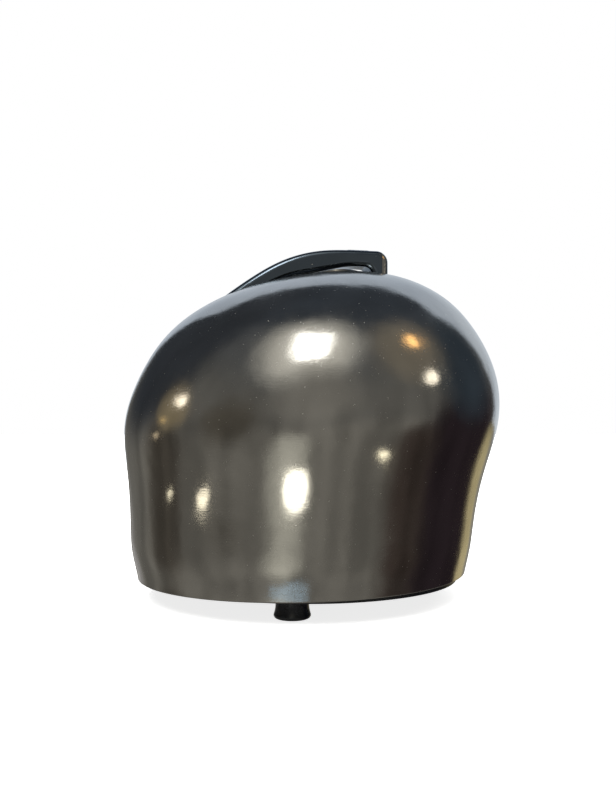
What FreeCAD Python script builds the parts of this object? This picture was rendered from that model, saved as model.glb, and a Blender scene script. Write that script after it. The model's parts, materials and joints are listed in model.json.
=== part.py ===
import FreeCAD, Part
import math
import os

from FreeCAD import Vector

# Electric kettle: a polished steel dome that leans forward, with an arched steel handle along its
# crown, a sprung pouring flap on its front shoulder, and the heater and switchgear under its floor.
# Millimetres. +Z up, feet on z = 0, +X towards the flap and mouth, the plane y = 0 halves the body.

# Body
BODY_RADIUS = 110.0        # widest radius of the dome
BODY_HEIGHT = 191.8        # crown above the table
BODY_LEAN = 29.3           # how far the crown lies ahead of the base circle's centre
WALL = 1.2                 # steel skin
RIM_HEIGHT = 12.9          # lower rim above the table, at mid length
RIM_RISE = 0.02            # slope of the rim, rising towards the front
# height, radius and lean of the dome, as shares of the three body sizes, from foot to crown
DOME_SHAPE = (
    (0.042, 0.867, 0.0), (0.132, 0.899, 0.0), (0.246, 0.921, 0.034), (0.387, 0.958, 0.106),
    (0.529, 1.0, 0.218), (0.670, 0.958, 0.352), (0.811, 0.820, 0.461), (0.887, 0.679, 0.593),
    (0.943, 0.505, 0.750), (0.981, 0.302, 0.908), (1.0, 0.0, 1.0),
)
DOME_SAMPLES = 24

# Finger well under the handle
WELL_LENGTH = 76.0
WELL_WIDTH = 54.0
WELL_DEPTH = 31.0
WELL_CENTRE = -1.0
WELL_WALL = 1.2
WELL_CORNER = 9.0

# Handle
HANDLE_WIDTH = 18.0
HANDLE_THICKNESS = 9.8
HANDLE_EDGE = 3.4          # rounding of its long edges
HANDLE_FRONT = 52.6        # front face of the front leg
HANDLE_CORNER = 7.0        # outer rounding where the arch turns down
HANDLE_WALL = 1.2
CAP_THICKNESS = 4.4        # end cap on the front leg
SEAM = 0.15                # joint between handle and cap
HANDLE_ELBOW = 5.0         # inner rounding where the arch turns down
HANDLE_ROOT = 8.0          # how far its leg reaches below the crown
# outer edge of the arch: share of the body radius ahead of the base centre, height over the crown,
# and share of the thickness there
ARCH = (
    (-0.5636, -30.5, 1.0), (-0.4727, -20.8, 1.0), (-0.3191, -7.7, 1.0),
    (-0.1118, 5.9, 1.12), (0.0855, 12.3, 1.25), (0.2782, 13.6, 1.0),
)

# Trigger
BUTTON_LENGTH = 15.5
BUTTON_WIDTH = 10.0
BUTTON_REAR = 27.0
BUTTON_CLEARANCE = 0.3
BUTTON_PROUD = 0.5
FLANGE = 1.2
STEM_RADIUS = 1.8
STEM_X = 46.9
SEAL_RADIUS = 2.9          # grommet round the stem
SEAL_GAP = 0.3
RUNNING = 0.05             # radial clearance of a running fit
TRIGGER_SPRING_RADIUS = 1.8
TRIGGER_WIRE = 0.25
TRIGGER_TURNS = 3

# Mouth and flap
MOUTH_WIDTH = 50.0
MOUTH_LENGTH = 56.0        # along the slope
MOUTH_TILT = 33.0          # mouth normal, degrees ahead of upright
MOUTH_REAR = 52.9          # rear edge, just ahead of the handle's leg
MOUTH_CORNER = 7.0
LID_GAP = 0.6
LID_REAR_GAP = 3.0
LINER = 2.6
GASKET = 1.2
LEDGE = 1.6
RING_WALL = 2.4
PIN_AHEAD = 4.4            # hinge pin ahead of the mouth's rear edge
PIN_DEPTH = 6.6            # hinge pin below the skin
PIN_RADIUS = 1.25
PIN_HALF = 15.6            # half the hinge pin's length
HUB_RADIUS = 2.6
HUB_HALF = 10.0            # half the width of the flap's hub
LUG_RADIUS = 2.2
TAIL_HALF = 4.0            # half the width of the flap's tail
TAIL_THICKNESS = 2.8

# Floor and heater
FLOOR_HEIGHT = 61.0        # underside of the heating plate
FLOOR = 1.6
FLOOR_GASKET = 1.2
SUPPORT = 2.0
SUPPORT_WIDTH = 9.0
ELEMENT_RADIUS = 52.0
ELEMENT_TUBE = 3.6
ELEMENT_SWEEP = 310.0
TERMINAL_RADIUS = 1.6
TERMINAL_LENGTH = 12.0
STEAM_X = -66.0            # steam tube, behind the base centre
STEAM_RADIUS = 4.0
STEAM_WALL = 1.0
STEAM_DROP = 52.0          # its open top below the crown
STEAM_SEAL = 6.5
CONTROL_DEPTH = 22.0       # thermostat block under the plate
CONTROL_HALF = 20.0

# Underside
PAN_RADIUS = 88.0
PAN_SHIFT = 4.0            # pan centre ahead of the base centre
PAN_HEIGHT = 10.3          # its underside above the table
PAN_WALL = 2.4
PAN_FLARE = 9.0            # height over which the pan widens to meet the skin
CHASSIS_HEIGHT = 26.0
CHASSIS = 2.5
CHASSIS_GAP = 0.4
FOOT_RADIUS = 9.75
FOOT_CIRCLE = 71.5
FOOT_ANGLES = {"foot_left": 105.6, "foot_right": -105.6, "foot_front": 0.0}
FOOT_SINK = 3.0            # how far a foot stands up inside its socket
SCREW_RADIUS = 1.5
SCREW_HEAD = 3.0
BASE_SCREW_CIRCLE = 66.0
BASE_SCREW_ANGLES = (45.0, 150.0, -45.0, -150.0)

# Inlet and switch on the far side
INLET_ANGLE = 150.0
INLET_HEIGHT = 40.0
INLET_SIZE = (29.0, 23.0)      # opening of the socket: width, height
INLET_WALL = 2.2
INLET_DEPTH = 20.0
INLET_FLANGE = 2.0
PIN_PITCH = 14.0
PIN_SIZE = (2.0, 4.0)
PIN_LENGTH = 14.0
SWITCH_ANGLE = 62.0
SWITCH_HEIGHT = 40.0
SWITCH_SIZE = (15.0, 20.0)     # opening for the rocker: width, height
SWITCH_WALL = 1.8
SWITCH_DEPTH = 16.0
ROCKER_GAP = 0.5
ROCKER_PIVOT = 9.0             # pivot below the outer face
ROCKER_HALF = 8.2              # half its height
ROCKER_PROUD = 2.2
ROCKER_AXLE = 1.5
ROCKER_THROW = 20.0            # degrees from off to on
LAMP_ANGLE = 46.0
LAMP_RADIUS = 3.0
WIRE_RADIUS = 1.1

CENTRE = Vector(0, 0, 0)
UP = Vector(0, 0, 1)
ACROSS = Vector(0, 1, 0)
REACH = 3 * BODY_RADIUS        # longer than anything in the kettle


def box(low, high):
    size = Vector(*high) - Vector(*low)
    return Part.makeBox(size.x, size.y, size.z, Vector(*low))


def rod(radius, start, end):
    return Part.makeCylinder(radius, (end - start).Length, start, end - start)


def disc(radius, low, high, x=0.0, y=0.0):
    return Part.makeCylinder(radius, high - low, Vector(x, y, low))


def ring(outer, inner, low, high, x=0.0, y=0.0):
    return disc(outer, low, high, x, y).cut(disc(inner, low, high, x, y))


def join(*solids):
    whole = solids[0]
    for solid in solids[1:]:
        whole = whole.fuse(solid)
    return whole.removeSplitter()


def spline(points, start=None, end=None):
    curve = Part.BSplineCurve()
    if start and end:
        curve.interpolate(Points=points, InitialTangent=start, FinalTangent=end)
    else:
        curve.interpolate(points)
    return curve


# Dome. Each level is a circle; its profile curve holds radius, lean and height as x, y and z.

def dome_profile():
    points = [Vector(r * BODY_RADIUS, s * BODY_LEAN, h * BODY_HEIGHT) for h, r, s in DOME_SHAPE]
    return spline(points, Vector(0.1, 0, 1), Vector(-1, 0.06, 0))


PROFILE = dome_profile()


def profile_at(height):
    """Radius and lean of the outer skin at a height."""
    low, high = PROFILE.FirstParameter, PROFILE.LastParameter
    for _ in range(40):
        middle = (low + high) / 2
        if PROFILE.value(middle).z < height:
            low = middle
        else:
            high = middle
    point = PROFILE.value(low)
    return point.x, point.y


def skin_height(x, depth=0.0):
    """Height of the skin on the centre plane, ahead of the crown, at a distance x."""
    low, high = 0.5 * BODY_HEIGHT, BODY_HEIGHT
    for _ in range(40):
        middle = (low + high) / 2
        radius, lean = profile_at(middle)
        if radius + lean > x:
            low = middle
        else:
            high = middle
    return low - depth


def dome(inset=0.0):
    """Solid dome whose skin lies a distance inside the outer one."""
    first, last = PROFILE.FirstParameter, PROFILE.LastParameter
    points = []
    for step in range(DOME_SAMPLES + 1):
        parameter = first + (last - first) * step / DOME_SAMPLES
        point, along = PROFILE.value(parameter), PROFILE.tangent(parameter)[0]
        inward = Vector(-along.z, 0, along.x)
        inward.normalize()
        points.append(point + inward * inset)
    points[-1].x = 0.0
    curve = spline(points, Vector(0.1, 0, 1), Vector(-1, 0.06, 0))
    side = math.sqrt(0.5)
    quarters = []
    for turn in range(4):
        angle = math.radians(90 * turn)
        along, across = Vector(math.cos(angle), math.sin(angle)), Vector(-math.sin(angle), math.cos(angle))
        poles = [[Vector(p.y, 0, p.z) + way * p.x for p in curve.getPoles()]
                 for way in (along, along + across, across)]
        weights = [[weight] * curve.NbPoles for weight in (1, side, 1)]
        surface = Part.BSplineSurface()
        surface.buildFromPolesMultsKnots(poles, [3, 3], curve.getMultiplicities(), [0, 1], curve.getKnots(),
                                         False, False, 2, curve.Degree, weights)
        quarters.append(surface.toShape())
    foot_edges = [min(quarter.Edges, key=lambda edge: edge.BoundBox.ZMax) for quarter in quarters]
    foot_face = Part.Face(Part.Wire(Part.__sortEdges__(foot_edges)))
    skin = Part.makeShell(quarters + [foot_face])
    skin.sewShape()
    solid = Part.makeSolid(skin)
    if solid.Volume < 0:
        solid.reverse()
    return solid


def above_rim():
    """Everything over the tilted plane of the lower rim."""
    block = Part.makeBox(2 * REACH, 2 * REACH, REACH, Vector(-REACH, -REACH, 0))
    block.rotate(CENTRE, ACROSS, -math.degrees(math.atan(RIM_RISE)))
    block.translate(Vector(0, 0, RIM_HEIGHT))
    return block


DOME = dome()
HOLLOW = dome(WALL)


def layer(outer, inner):
    """Slice of the dome between two depths."""
    return dome(outer).cut(dome(inner))


# Finger well

def well_prism(shrink, floor):
    ellipse = Part.Ellipse(Vector(WELL_CENTRE, 0, floor), WELL_LENGTH / 2 - shrink, WELL_WIDTH / 2 - shrink)
    face = Part.Face(Part.Wire([ellipse.toShape()]))
    prism = face.extrude(Vector(0, 0, REACH))
    foot = [edge for edge in prism.Edges if edge.BoundBox.ZMax < floor + 0.01]
    return prism.makeFillet(WELL_CORNER - shrink, foot)


WELL_FLOOR = BODY_HEIGHT - WELL_DEPTH


def finger_well():
    pan = well_prism(0, WELL_FLOOR).cut(well_prism(WELL_WALL, WELL_FLOOR + WELL_WALL))
    return pan.common(DOME)


# Mouth: an outline in the mouth plane, pushed along the mouth normal

MOUTH_NORMAL = Vector(math.sin(math.radians(MOUTH_TILT)), 0, math.cos(math.radians(MOUTH_TILT)))
MOUTH_ALONG = Vector(MOUTH_NORMAL.z, 0, -MOUTH_NORMAL.x)
MOUTH_START = Vector(MOUTH_REAR, 0, skin_height(MOUTH_REAR))
HINGE = Vector(MOUTH_REAR + PIN_AHEAD, 0, skin_height(MOUTH_REAR + PIN_AHEAD, PIN_DEPTH))


def mouth_prism(shrink=0.0, rear=0.0):
    """Straight at the rear and round at the front; shrink moves every side in, rear the rear side more."""
    half = MOUTH_WIDTH / 2
    start, middle = rear + shrink, MOUTH_LENGTH - half
    width = half - shrink

    def at(u, v):
        return MOUTH_START + MOUTH_ALONG * u + ACROSS * v - MOUTH_NORMAL * REACH / 2

    edges = [
        Part.makeLine(at(start, width), at(middle, width)),
        Part.Arc(at(middle, width), at(middle + width, 0), at(middle, -width)).toShape(),
        Part.makeLine(at(middle, -width), at(start, -width)),
        Part.makeLine(at(start, -width), at(start, width)),
    ]
    prism = Part.Face(Part.Wire(edges)).extrude(MOUTH_NORMAL * REACH)
    corners = [edge for edge in prism.Edges
               if edge.Length > REACH - 1 and (edge.CenterOfMass - at(start, 0)).dot(MOUTH_ALONG) < 1]
    return prism.makeFillet(max(MOUTH_CORNER - shrink, 0.5), corners)


def ahead(x):
    return box((x, -REACH, 0), (REACH, REACH, REACH))


def upper_part():
    return box((0, -REACH, BODY_HEIGHT / 2), (REACH, REACH, REACH))


RING_DEPTH = WALL + LINER + GASKET
LEDGE_START = HINGE.x + HUB_RADIUS + 2.5


def hinge_block(x_low, x_high, y_low, y_high, z_low, z_high):
    """Block placed from the hinge pin's middle."""
    return box((HINGE.x + x_low, y_low, HINGE.z + z_low), (HINGE.x + x_high, y_high, HINGE.z + z_high))


def mouth_ring():
    """Moulded seat under the mouth: a wall, a ledge for the gasket and two lugs for the hinge pin."""
    wall = layer(WALL, RING_DEPTH + LEDGE).common(upper_part())
    wall = wall.common(mouth_prism(-RING_WALL)).cut(mouth_prism(0))
    ledge = layer(RING_DEPTH, RING_DEPTH + LEDGE).common(upper_part()).common(ahead(LEDGE_START))
    ledge = ledge.common(mouth_prism(-RING_WALL / 2)).cut(mouth_prism(3.4))
    seat = join(wall, ledge)
    back = -PIN_AHEAD - RING_WALL + 0.2
    for low in (HUB_HALF + 0.4, -PIN_HALF):
        high = low + PIN_HALF - HUB_HALF - 0.4
        riser = hinge_block(back, -PIN_AHEAD - 0.3, low, high, -LUG_RADIUS, REACH).common(HOLLOW)
        arm = hinge_block(back, 0, low, high, -LUG_RADIUS, 0.6)
        eye = rod(LUG_RADIUS, HINGE + ACROSS * low, HINGE + ACROSS * high)
        seat = join(seat, riser, arm, eye)
    slot = TAIL_HALF + 0.8
    seat = seat.cut(hinge_block(-20, -2, -slot, slot, -20, TAIL_THICKNESS / 2 + 1))
    seat = seat.cut(disc(SEAL_RADIUS + SEAL_GAP, 0, REACH, STEM_X))
    return seat.cut(rod(PIN_RADIUS, HINGE - ACROSS * PIN_HALF, HINGE + ACROSS * PIN_HALF))


def lid_skin():
    return layer(0, WALL).common(upper_part()).common(mouth_prism(LID_GAP, LID_REAR_GAP))


def lid_liner():
    """Moulded plate under the flap's skin, with a hub on the hinge pin and a tail under the stem."""
    plate = layer(WALL, WALL + LINER).common(upper_part())
    plate = plate.common(mouth_prism(LID_GAP + 0.4, LID_REAR_GAP + 0.6))
    for low, high in ((HUB_HALF + 0.1, REACH), (-REACH, -HUB_HALF - 0.1)):
        plate = plate.cut(hinge_block(-20, LUG_RADIUS + 2.4, low, high, -20, 20))
    hub = rod(HUB_RADIUS, HINGE - ACROSS * HUB_HALF, HINGE + ACROSS * HUB_HALF)
    web = hinge_block(-0.6, HUB_RADIUS, -HUB_HALF, HUB_HALF, 0, 20).common(dome(WALL + LINER / 2))
    thick = TAIL_THICKNESS / 2
    tail = hinge_block(STEM_X - 2.2 - HINGE.x, 0, -TAIL_HALF, TAIL_HALF, -thick, thick)
    spring_gap = rod(HUB_RADIUS + 1, HINGE + ACROSS * (TAIL_HALF + 1), HINGE + ACROSS * (HUB_HALF - 1))
    bore = rod(PIN_RADIUS + RUNNING, HINGE - ACROSS * PIN_HALF, HINGE + ACROSS * PIN_HALF)
    liner = join(plate, web, hub, tail).cut(spring_gap).cut(bore)
    return liner.cut(lid_screws())


def lid_gasket():
    front = upper_part().common(ahead(LEDGE_START + 0.4))
    band = layer(WALL + LINER, RING_DEPTH).common(front)
    return band.common(mouth_prism(LID_GAP + 0.6)).cut(mouth_prism(LID_GAP + 2.8))


def lid_screws():
    screws = []
    for side in (-1, 1):
        for u in (0.35, 0.72):
            base = MOUTH_START + MOUTH_ALONG * (u * MOUTH_LENGTH) + ACROSS * (side * 12)
            shank = rod(1.0, base - MOUTH_NORMAL * 20, base + MOUTH_NORMAL * 20)
            head = rod(2.0, base - MOUTH_NORMAL * 20, base + MOUTH_NORMAL * 20)
            shank = shank.common(HOLLOW).cut(dome(WALL + LINER))
            head = head.common(layer(WALL + LINER, WALL + LINER + 1.2))
            screws.append(shank.fuse(head).removeSplitter())
    return screws


def coil(radius, wire, height, turns, start):
    """Wire coil along +Z from a start point."""
    path = Part.Wire(Part.makeHelix(height / turns, height, radius).Edges)
    section = Part.Wire([Part.makeCircle(wire, Vector(radius, 0, 0), ACROSS)])
    solid = path.makePipeShell([section], True, True)
    solid.translate(start)
    return solid


def lid_spring():
    spring = coil(HUB_RADIUS - 0.6, 0.35, HUB_HALF - TAIL_HALF - 3.2, 3, CENTRE)
    spring.rotate(CENTRE, Vector(1, 0, 0), -90)
    spring.translate(HINGE + ACROSS * (TAIL_HALF + 1.6))
    return spring


# Handle

def handle_blank():
    crown = Vector(0, 0, BODY_HEIGHT)
    points = [Vector(x * BODY_RADIUS, 0, z) + crown for x, z, share in ARCH]
    top = points[-1].z
    outer = spline(points + [Vector(HANDLE_FRONT - HANDLE_CORNER, 0, top)])
    inner_points = []
    for point, (x, z, share) in zip(points, ARCH):
        along = outer.tangent(outer.parameter(point))[0]
        inner_points.append(point + Vector(along.z, 0, -along.x) * HANDLE_THICKNESS * share)
    leg = HANDLE_FRONT - HANDLE_THICKNESS
    under = top - HANDLE_THICKNESS
    inner_points.append(Vector(leg - HANDLE_ELBOW, 0, under))
    inner = spline(inner_points)
    knee = math.sqrt(0.5)
    foot = BODY_HEIGHT - HANDLE_ROOT
    corner = Vector(HANDLE_FRONT - HANDLE_CORNER, 0, top - HANDLE_CORNER)
    elbow = Vector(leg - HANDLE_ELBOW, 0, under - HANDLE_ELBOW)
    edges = [
        outer.toShape(),
        Part.Arc(corner + UP * HANDLE_CORNER, corner + Vector(knee, 0, knee) * HANDLE_CORNER,
                 corner + Vector(HANDLE_CORNER, 0, 0)).toShape(),
        Part.makeLine(corner + Vector(HANDLE_CORNER, 0, 0), Vector(HANDLE_FRONT, 0, foot)),
        Part.makeLine(Vector(HANDLE_FRONT, 0, foot), Vector(leg, 0, foot)),
        Part.makeLine(Vector(leg, 0, foot), elbow + Vector(HANDLE_ELBOW, 0, 0)),
        Part.Arc(elbow + Vector(HANDLE_ELBOW, 0, 0), elbow + Vector(knee, 0, knee) * HANDLE_ELBOW,
                 elbow + UP * HANDLE_ELBOW).toShape(),
        inner.toShape(),
        Part.makeLine(inner.value(inner.FirstParameter), outer.value(outer.FirstParameter)),
    ]
    face = Part.Face(Part.Wire(Part.__sortEdges__(edges)))
    face.translate(Vector(0, -HANDLE_WIDTH / 2, 0))
    blank = face.extrude(Vector(0, HANDLE_WIDTH, 0))
    lengthwise = [edge for edge in blank.Edges if edge.BoundBox.YLength < 0.01]
    rounded = [edge for edge in lengthwise
               if edge.CenterOfMass.z > foot + 0.5 and edge.CenterOfMass.x > points[0].x]
    return blank.makeFillet(HANDLE_EDGE, rounded)


HANDLE_TOP = BODY_HEIGHT + ARCH[-1][1]
CAVITY_FLOOR = HANDLE_TOP - HANDLE_THICKNESS + HANDLE_WALL
CAVITY_ROOF = HANDLE_TOP - HANDLE_WALL - 0.2
CAVITY_HALF = HANDLE_WIDTH / 2 - 2.2
SEAM_X = HANDLE_FRONT - CAP_THICKNESS


def handle_cavity():
    leg = HANDLE_FRONT - HANDLE_THICKNESS
    chamber = box((BUTTON_REAR - 2.5, -CAVITY_HALF, CAVITY_FLOOR),
                  (STEM_X + STEM_RADIUS + 0.3, CAVITY_HALF, CAVITY_ROOF))
    shaft = box((leg + HANDLE_WALL, -CAVITY_HALF, BODY_HEIGHT - 12),
                (HANDLE_FRONT - HANDLE_WALL, CAVITY_HALF, HANDLE_TOP - HANDLE_CORNER))
    return chamber.fuse(shaft)


def button_window(clearance):
    half = BUTTON_WIDTH / 2 + clearance
    window = box((BUTTON_REAR - clearance, -half, CAVITY_ROOF - 0.5),
                 (BUTTON_REAR + BUTTON_LENGTH + clearance, half, HANDLE_TOP + 5))
    uprights = [edge for edge in window.Edges if edge.BoundBox.ZLength > 1]
    return window.makeFillet(2.5 + clearance, uprights)


def on_dome(solid):
    """The solid without whatever lies inside the dome, except in the finger well."""
    return solid.cut(DOME.cut(well_prism(WELL_WALL, WELL_FLOOR + WELL_WALL)))


def handle():
    blank = on_dome(handle_blank())
    return blank.cut(ahead(SEAM_X)).cut(handle_cavity()).cut(button_window(BUTTON_CLEARANCE))


def handle_end_cap():
    return on_dome(handle_blank()).common(ahead(SEAM_X + SEAM)).cut(handle_cavity())


STEM_FOOT = HINGE.z + TAIL_THICKNESS / 2 + 0.05


def trigger_button():
    flange_roof = CAVITY_ROOF - 0.1
    half = BUTTON_WIDTH / 2 + 1.4
    key = box((BUTTON_REAR, -BUTTON_WIDTH / 2, flange_roof - 0.2),
              (BUTTON_REAR + BUTTON_LENGTH, BUTTON_WIDTH / 2, HANDLE_TOP + BUTTON_PROUD))
    key = key.makeFillet(2.5, [edge for edge in key.Edges if edge.BoundBox.ZLength > 1])
    key = key.makeFillet(0.8, [edge for edge in key.Edges if edge.BoundBox.ZMin > HANDLE_TOP])
    flange = box((BUTTON_REAR - 1.8, -half, flange_roof - FLANGE),
                 (STEM_X + STEM_RADIUS, half, flange_roof))
    return join(key, flange)


STEM_TOP = CAVITY_ROOF - 0.1 - FLANGE


def trigger_stem():
    return disc(STEM_RADIUS, STEM_FOOT, STEM_TOP, STEM_X)


SKIN_AT_STEM = skin_height(STEM_X)


def stem_seal():
    """Grommet in the skin that the stem slides through."""
    neck = ring(SEAL_RADIUS - 0.6, STEM_RADIUS + RUNNING, SKIN_AT_STEM - WALL - 1.4, SKIN_AT_STEM + 1.4, STEM_X)
    skin = DOME.cut(HOLLOW)
    cuff = ring(SEAL_RADIUS, STEM_RADIUS + RUNNING, SKIN_AT_STEM - WALL - 1.4, SKIN_AT_STEM + 1.4, STEM_X)
    return neck.fuse(cuff.cut(skin)).removeSplitter()


def trigger_spring():
    middle = Vector(BUTTON_REAR + BUTTON_LENGTH / 2, 0, CAVITY_FLOOR + TRIGGER_WIRE)
    height = CAVITY_ROOF - 0.1 - FLANGE - CAVITY_FLOOR - 2 * TRIGGER_WIRE - 0.05
    return coil(TRIGGER_SPRING_RADIUS, TRIGGER_WIRE, height, TRIGGER_TURNS, middle)


# Shell

def at_skin(angle, height):
    """Frame on the skin at an angle round the base: point, outward direction."""
    radius, lean = profile_at(height)
    out = Vector(math.cos(math.radians(angle)), math.sin(math.radians(angle)), 0)
    return Vector(lean, 0, height) + out * radius, out


def panel(angle, height, width, tall, near, far, corner=0.0):
    """Block across the skin: width by height, from a depth near to a depth far behind the skin."""
    point, out = at_skin(angle, height)
    block = Part.makeBox(far - near, width, tall, Vector(-far, -width / 2, -tall / 2))
    if corner:
        lengthwise = [edge for edge in block.Edges if edge.BoundBox.XLength > far - near - 0.01]
        block = block.makeFillet(corner, lengthwise)
    block.rotate(CENTRE, UP, angle)
    block.translate(point)
    return block


def shell():
    skin = DOME.cut(HOLLOW).common(above_rim())
    skin = skin.cut(well_prism(0, WELL_FLOOR)).cut(mouth_prism().common(upper_part()))
    skin = skin.cut(disc(SEAL_RADIUS - 0.6, BODY_HEIGHT - 12, BODY_HEIGHT + 5, STEM_X))
    width, tall = (size + 2 * INLET_WALL for size in INLET_SIZE)
    skin = skin.cut(panel(INLET_ANGLE, INLET_HEIGHT, width, tall, -8, 8, 4.0))
    width, tall = (size + 2 * SWITCH_WALL for size in SWITCH_SIZE)
    skin = skin.cut(panel(SWITCH_ANGLE, SWITCH_HEIGHT, width, tall, -8, 8, 2.5))
    point, out = at_skin(LAMP_ANGLE, SWITCH_HEIGHT)
    skin = skin.cut(rod(LAMP_RADIUS, point - out * 8, point + out * 8))
    return skin


# Floor and heater

def support_ring():
    """Ledge brazed inside the skin that carries the heating plate."""
    radius, lean = profile_at(FLOOR_HEIGHT)
    top = FLOOR_HEIGHT - FLOOR_GASKET
    blank = ring(radius + 5, radius - WALL - SUPPORT_WIDTH, top - SUPPORT, top, lean)
    return blank.common(HOLLOW)


def floor_gasket():
    radius, lean = profile_at(FLOOR_HEIGHT)
    blank = ring(radius + 5, radius - WALL - SUPPORT_WIDTH + 1, FLOOR_HEIGHT - FLOOR_GASKET, FLOOR_HEIGHT, lean)
    return blank.common(HOLLOW)


def heating_plate():
    plate = disc(REACH, FLOOR_HEIGHT, FLOOR_HEIGHT + FLOOR).common(HOLLOW)
    plate = plate.cut(disc(STEAM_RADIUS + 1.5, 0, REACH, STEAM_X))
    return plate


def steam_tube():
    low = FLOOR_HEIGHT - 10
    return ring(STEAM_RADIUS, STEAM_RADIUS - STEAM_WALL, low, BODY_HEIGHT - STEAM_DROP, STEAM_X)


def steam_seal():
    neck = ring(STEAM_RADIUS + 1.5, STEAM_RADIUS, FLOOR_HEIGHT - 1.5, FLOOR_HEIGHT + FLOOR + 1.5, STEAM_X)
    for low in (FLOOR_HEIGHT - 1.5, FLOOR_HEIGHT + FLOOR):
        neck = neck.fuse(ring(STEAM_SEAL, STEAM_RADIUS, low, low + 1.5, STEAM_X))
    return neck.removeSplitter()


ELEMENT_Z = FLOOR_HEIGHT - ELEMENT_TUBE


def heating_element():
    """Sheathed element bent to an open ring and brazed under the plate, gap towards the front."""
    middle = Vector(0, 0, ELEMENT_Z)
    element = Part.makeTorus(ELEMENT_RADIUS, ELEMENT_TUBE, middle, UP, -180, 180, ELEMENT_SWEEP)
    element.rotate(CENTRE, UP, (360 - ELEMENT_SWEEP) / 2)
    return element


def element_terminals():
    pins = []
    for side in (-1, 1):
        angle = math.radians(side * (360 - ELEMENT_SWEEP) / 2)
        x = ELEMENT_RADIUS * math.cos(angle)
        y = ELEMENT_RADIUS * math.sin(angle)
        into = side * 2.2
        pins.append(disc(TERMINAL_RADIUS, ELEMENT_Z - ELEMENT_TUBE - TERMINAL_LENGTH, ELEMENT_Z - ELEMENT_TUBE,
                         x - into * math.sin(angle), y + into * math.cos(angle)))
    return pins


CONTROL_LOW = FLOOR_HEIGHT - CONTROL_DEPTH


def thermostat_body():
    body = box((-CONTROL_HALF, -CONTROL_HALF, CONTROL_LOW), (CONTROL_HALF, CONTROL_HALF, FLOOR_HEIGHT - 4))
    body = body.makeFillet(3.0, [edge for edge in body.Edges if edge.BoundBox.ZLength > 5])
    pocket = disc(9.5, FLOOR_HEIGHT - 6, FLOOR_HEIGHT)
    posts = [disc(3.0, FLOOR_HEIGHT - 4, FLOOR_HEIGHT, x, y) for x in (-15, 15) for y in (-15, 15)]
    return join(body.cut(pocket), *posts)


def bimetal_disc():
    bowl = Part.makeSphere(30.0, Vector(0, 0, FLOOR_HEIGHT - 34.6))
    bowl = bowl.cut(Part.makeSphere(29.5, Vector(0, 0, FLOOR_HEIGHT - 34.6)))
    return bowl.common(disc(9.0, FLOOR_HEIGHT - 6, FLOOR_HEIGHT))


def boil_dry_cutout():
    cup = disc(6.0, FLOOR_HEIGHT - 8, FLOOR_HEIGHT, -35.0)
    lugs = box((-43.5, -2, FLOOR_HEIGHT - 8), (-26.5, 2, FLOOR_HEIGHT - 6.5))
    return join(cup, lugs)


# Underside

def base_pan():
    """Moulded bottom cover, dished up at its edge to close against the skin."""
    low, high = PAN_HEIGHT, PAN_HEIGHT + PAN_FLARE
    edge = BODY_RADIUS
    outline = [Vector(0, 0, low), Vector(PAN_RADIUS - 2, 0, low), Vector(PAN_RADIUS, 0, low + 2),
               Vector(PAN_RADIUS, 0, high - PAN_WALL), Vector(edge, 0, high - PAN_WALL), Vector(edge, 0, high),
               Vector(PAN_RADIUS - PAN_WALL, 0, high), Vector(PAN_RADIUS - PAN_WALL, 0, low + PAN_WALL),
               Vector(0, 0, low + PAN_WALL), Vector(0, 0, low)]
    pan = Part.Face(Part.makePolygon(outline)).revolve(CENTRE, UP, 360)
    pan.translate(Vector(PAN_SHIFT, 0, 0))
    pan = pan.common(dome(WALL + 0.1)).common(above_rim())
    pan = pan.fuse(disc(PAN_RADIUS, low, low + PAN_WALL, PAN_SHIFT).common(DOME))
    for x, y in foot_places():
        socket = disc(FOOT_RADIUS + 2.0, low, low + FOOT_SINK + 2.0, x, y)
        pan = pan.fuse(socket).cut(disc(FOOT_RADIUS - 1.5, low - 1, low + FOOT_SINK, x, y))
        pan = pan.cut(disc(SCREW_RADIUS, low, low + 20, x, y))
    for x, y in base_screw_places():
        pan = pan.fuse(disc(5.0, low, CHASSIS_HEIGHT, x, y)).cut(disc(SCREW_RADIUS, low, CHASSIS_HEIGHT, x, y))
        pan = pan.cut(disc(SCREW_HEAD, low - 1, low + 3.0, x, y))
    return pan.removeSplitter()


def around(radius, angle):
    return radius * math.cos(math.radians(angle)), radius * math.sin(math.radians(angle))


def foot_places():
    return [around(FOOT_CIRCLE, angle) for angle in FOOT_ANGLES.values()]


def base_screw_places():
    return [around(BASE_SCREW_CIRCLE, angle) for angle in BASE_SCREW_ANGLES]


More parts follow.
